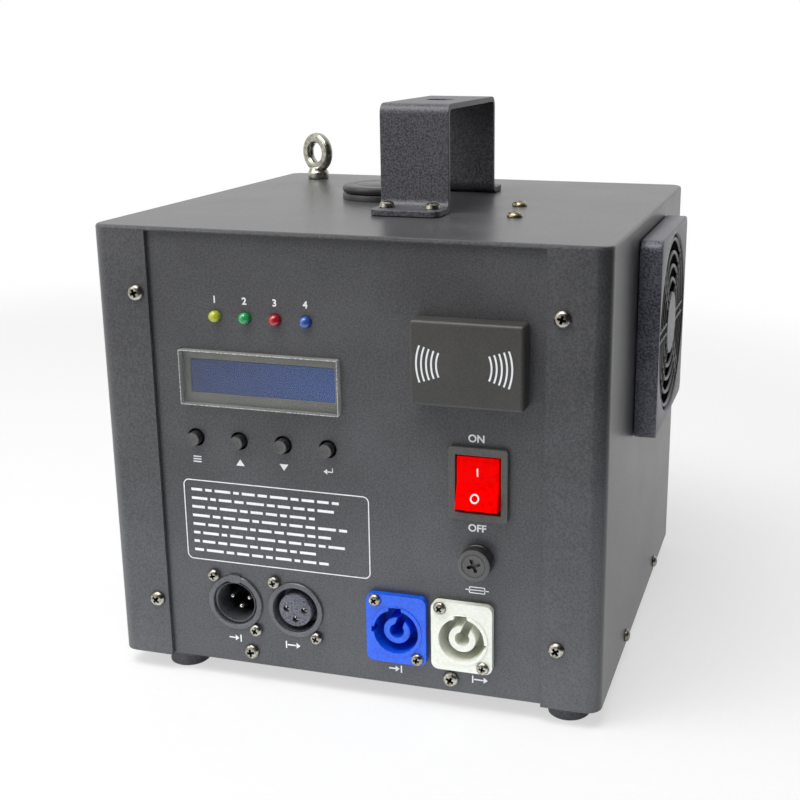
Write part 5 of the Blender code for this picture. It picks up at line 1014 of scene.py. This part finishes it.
def feet():
    """Rubber feet, a little wider at the floor, their screw sunk in the middle."""
    side = [(0, -3.0), (4.2, -3.0), (4.2, -8.0), (8.4, -8.0), (8.9, -7.6), (9.0, -7.0), (8.3, -0.8), (7.8, -0.3),
            (0, -0.3)]
    for node in ("front_left_foot", "front_right_foot", "rear_left_foot", "rear_right_foot"):
        show(node + "_moulding", lathe(side, 56), RUBBER, over(node, 0.0), (node,))


def guard_tree():
    """Concentric rings and straight spokes of a fan guard, drawn in millimetres about its middle."""
    tree, given = shape_tree("guard_rings", {
        "Spokes": "Geometry", "Rings": "Int", "First Radius": "Float", "Pitch": "Float", "Ring Thickness": "Float",
        "Spoke Thickness": "Float", "Finish": "Material"})
    middle = add(tree, "GeometryNodeMeshLine", {"Count": given["Rings"], "Offset": (0.0, 0.0, 0.0)})
    circle = add(tree, "GeometryNodeCurvePrimitiveCircle", {"Resolution": 96, "Radius": 1.0})
    number = add(tree, "GeometryNodeInputIndex")
    radius = add(tree, "ShaderNodeMath", {0: number, 1: given["Pitch"], 2: given["First Radius"]},
                 operation="MULTIPLY_ADD")
    circles = add(tree, "GeometryNodeInstanceOnPoints", {"Points": middle, "Instance": circle, "Scale": radius})
    real = add(tree, "GeometryNodeRealizeInstances", {"Geometry": circles})
    thick = add(tree, "GeometryNodeCurvePrimitiveCircle", {"Resolution": 12, "Radius": given["Ring Thickness"]})
    rings = add(tree, "GeometryNodeCurveToMesh", {"Curve": real, "Profile Curve": thick})
    lines = add(tree, "GeometryNodeMeshToCurve", {"Mesh": given["Spokes"]})
    thin = add(tree, "GeometryNodeCurvePrimitiveCircle", {"Resolution": 8, "Radius": given["Spoke Thickness"]})
    spokes = add(tree, "GeometryNodeCurveToMesh", {"Curve": lines, "Profile Curve": thin, "Fill Caps": True})
    both = add(tree, "GeometryNodeJoinGeometry")
    for part in (rings, spokes):
        feed(both, {0: part})
    return end_tree(tree, both, given["Finish"])


def guard_spokes(height):
    """The middle lines of the guard's paired spokes."""
    bm = bmesh.new()
    for degrees in (0, 45, 135, 180, 225, 315):
        c, s = round_spot(1.0, degrees)
        for offset in (-2.2, 2.2):
            ends = [bm.verts.new((reach * c - offset * s, reach * s + offset * c, height)) for reach in (12.5, 40.2)]
            bm.edges.new(ends)
    return plain_mesh(bm)


def fan_guards():
    """Square guards of the two fans: a grained frame with a dark bore, rings and spokes, and a hub."""
    tree = guard_tree()
    for side, word in ((1, "right"), (-1, "left")):
        node = word + "_fan_guard"
        low, high = node_box(node)
        middle = (low + high) / 2
        depth = high.x - CASE_WIDTH if side > 0 else -low.x
        place = on_side(side, middle.y, middle.z)
        shape = slab(outline(high.y - low.y, high.z - low.z, 5.0, 6), 0.3, depth)
        bore = lathe([(0, -1), (40.0, -1), (40.0, depth - 2.6), (41.0, depth + 1), (0, depth + 1)], 96)
        centre = at(0.0, middle.y, middle.z)
        show(node + "_frame", softened(cut(shape, bore), 0.7, 3, 40.0), GRAINED, place, (node,), second=NYLON,
             choose=lambda face: abs(face.normal.x) < 0.7 and (face.center - centre).yz.length < 41.5 * MM)
        rings = through_tree(guard_spokes(depth - 1.2), tree, {
            "Rings": 4, "First Radius": 20.0, "Pitch": 6.03, "Ring Thickness": 0.9, "Spoke Thickness": 0.75,
            "Finish": NYLON})
        # The tree draws the rings about height 0; they go to their place at the guard's face.
        for vertex in rings.vertices:
            if vertex.co.z < 2.0:
                vertex.co.z += depth - 1.5
        show(node + "_rings", rings, NYLON, place)
        hub = lathe([(0, depth - 4.0), (13.4, depth - 4.0), (14.1, depth - 3.6), (14.1, depth - 0.9),
                     (13.7, depth - 0.35), (0, depth - 0.3)])
        show(node + "_hub", hub, GRAINED, place)


# Studio

def camera():
    """The photograph's own standpoint: slightly right of the machine and a little above its top."""
    data = bpy.data.cameras.new("camera")
    data.sensor_width = 36.0
    data.lens = 57.265
    data.shift_x = -0.0946
    data.shift_y = -0.0084
    data.clip_start = 0.01
    right = Vector((0.962403, 0.271624, 0.000812))
    up = Vector((-0.074574, 0.261349, 0.962359))
    back = Vector((0.261187, -0.926238, 0.271780))
    turn = Matrix((right, up, back)).transposed().to_4x4()
    obj = linked("camera", data)
    obj.matrix_world = Matrix.Translation((0.187985, -0.566846, 0.278039)) @ turn
    bpy.context.scene.camera = obj


def floor():
    """A round sheet of white paper."""
    mesh = lathe([(0, 0), (1200, 0)], 96, matrix=Matrix.Scale(MM, 4))
    if mesh.polygons[0].normal.z < 0:
        mesh.flip_normals()
    mesh.materials.append(white_paper())
    linked("floor", mesh)


def softbox(name, spot, aim, size, power):
    data = bpy.data.lights.new(name, "AREA")
    data.shape = "RECTANGLE"
    data.size, data.size_y = size
    data.energy = power
    obj = linked(name, data)
    obj.location = spot
    obj.rotation_euler = (Vector(aim) - Vector(spot)).to_track_quat("-Z", "Y").to_euler()
    return obj


def studio():
    """A white room lit from above and from the front left, with a shaded side to the right of the camera."""
    world = bpy.data.worlds.new("white_room")
    bpy.context.scene.world = world
    world.use_nodes = True
    tree = world.node_tree
    direct, mirrored = ray_kinds(tree)
    way = add(tree, "ShaderNodeTexCoord").outputs["Generated"]
    shaded_side = add(tree, "ShaderNodeVectorMath", {0: way, 1: (0.85, -0.53, 0.0)}, operation="DOT_PRODUCT")
    shade = add(tree, "ShaderNodeMapRange", {"Value": shaded_side.outputs["Value"], 1: 0.0, 2: 0.65, 3: 1.0, 4: 0.04})
    level = add(tree, "ShaderNodeMapRange", {"Value": mirrored, 3: 0.42, 4: 1.0})
    lit = add(tree, "ShaderNodeMath", {0: level, 1: shade}, operation="MULTIPLY")
    seen = add(tree, "ShaderNodeMath", {0: lit, 1: direct}, operation="MAXIMUM")
    feed(tree.nodes["Background"], {"Color": (1.0, 1.0, 1.0, 1.0), "Strength": seen})
    machine = (0, 0, 0.1)
    softbox("key_box", (-1.5, -1.2, 1.3), machine, (1.4, 1.4), 11)
    # A cool white board on the floor throws light back up the panel.
    board = softbox("white_board_on_the_floor", (-0.05, -0.185, 0.003), (-0.05, -0.185, 1.0), (0.8, 0.16), 0.29)
    board.data.color = (0.8, 0.9, 1.0)
    board.visible_camera = False
    softbox("box_above", (-0.25, -0.55, 1.5), machine, (1.2, 0.8), 20)
    bpy.context.scene.view_settings.view_transform = "Standard"


dress_nodes()
indicator_lamps()
push_buttons()
signal_connectors()
power_socket("power_in_socket", POWER_IN, ((92, 5.6, 1.2), (178, 2.6, 1.0)), BLUE)
power_socket("power_out_socket", POWER_OUT, ((92, 5.6, 1.2), (-12, 2.6, 1.0)), WHITE)
fuse_knob()
rocker()
display()
eye_bolt()
hopper_cap()
outlet()
feet()
fan_guards()
screws()
printing()
camera()
floor()
studio()
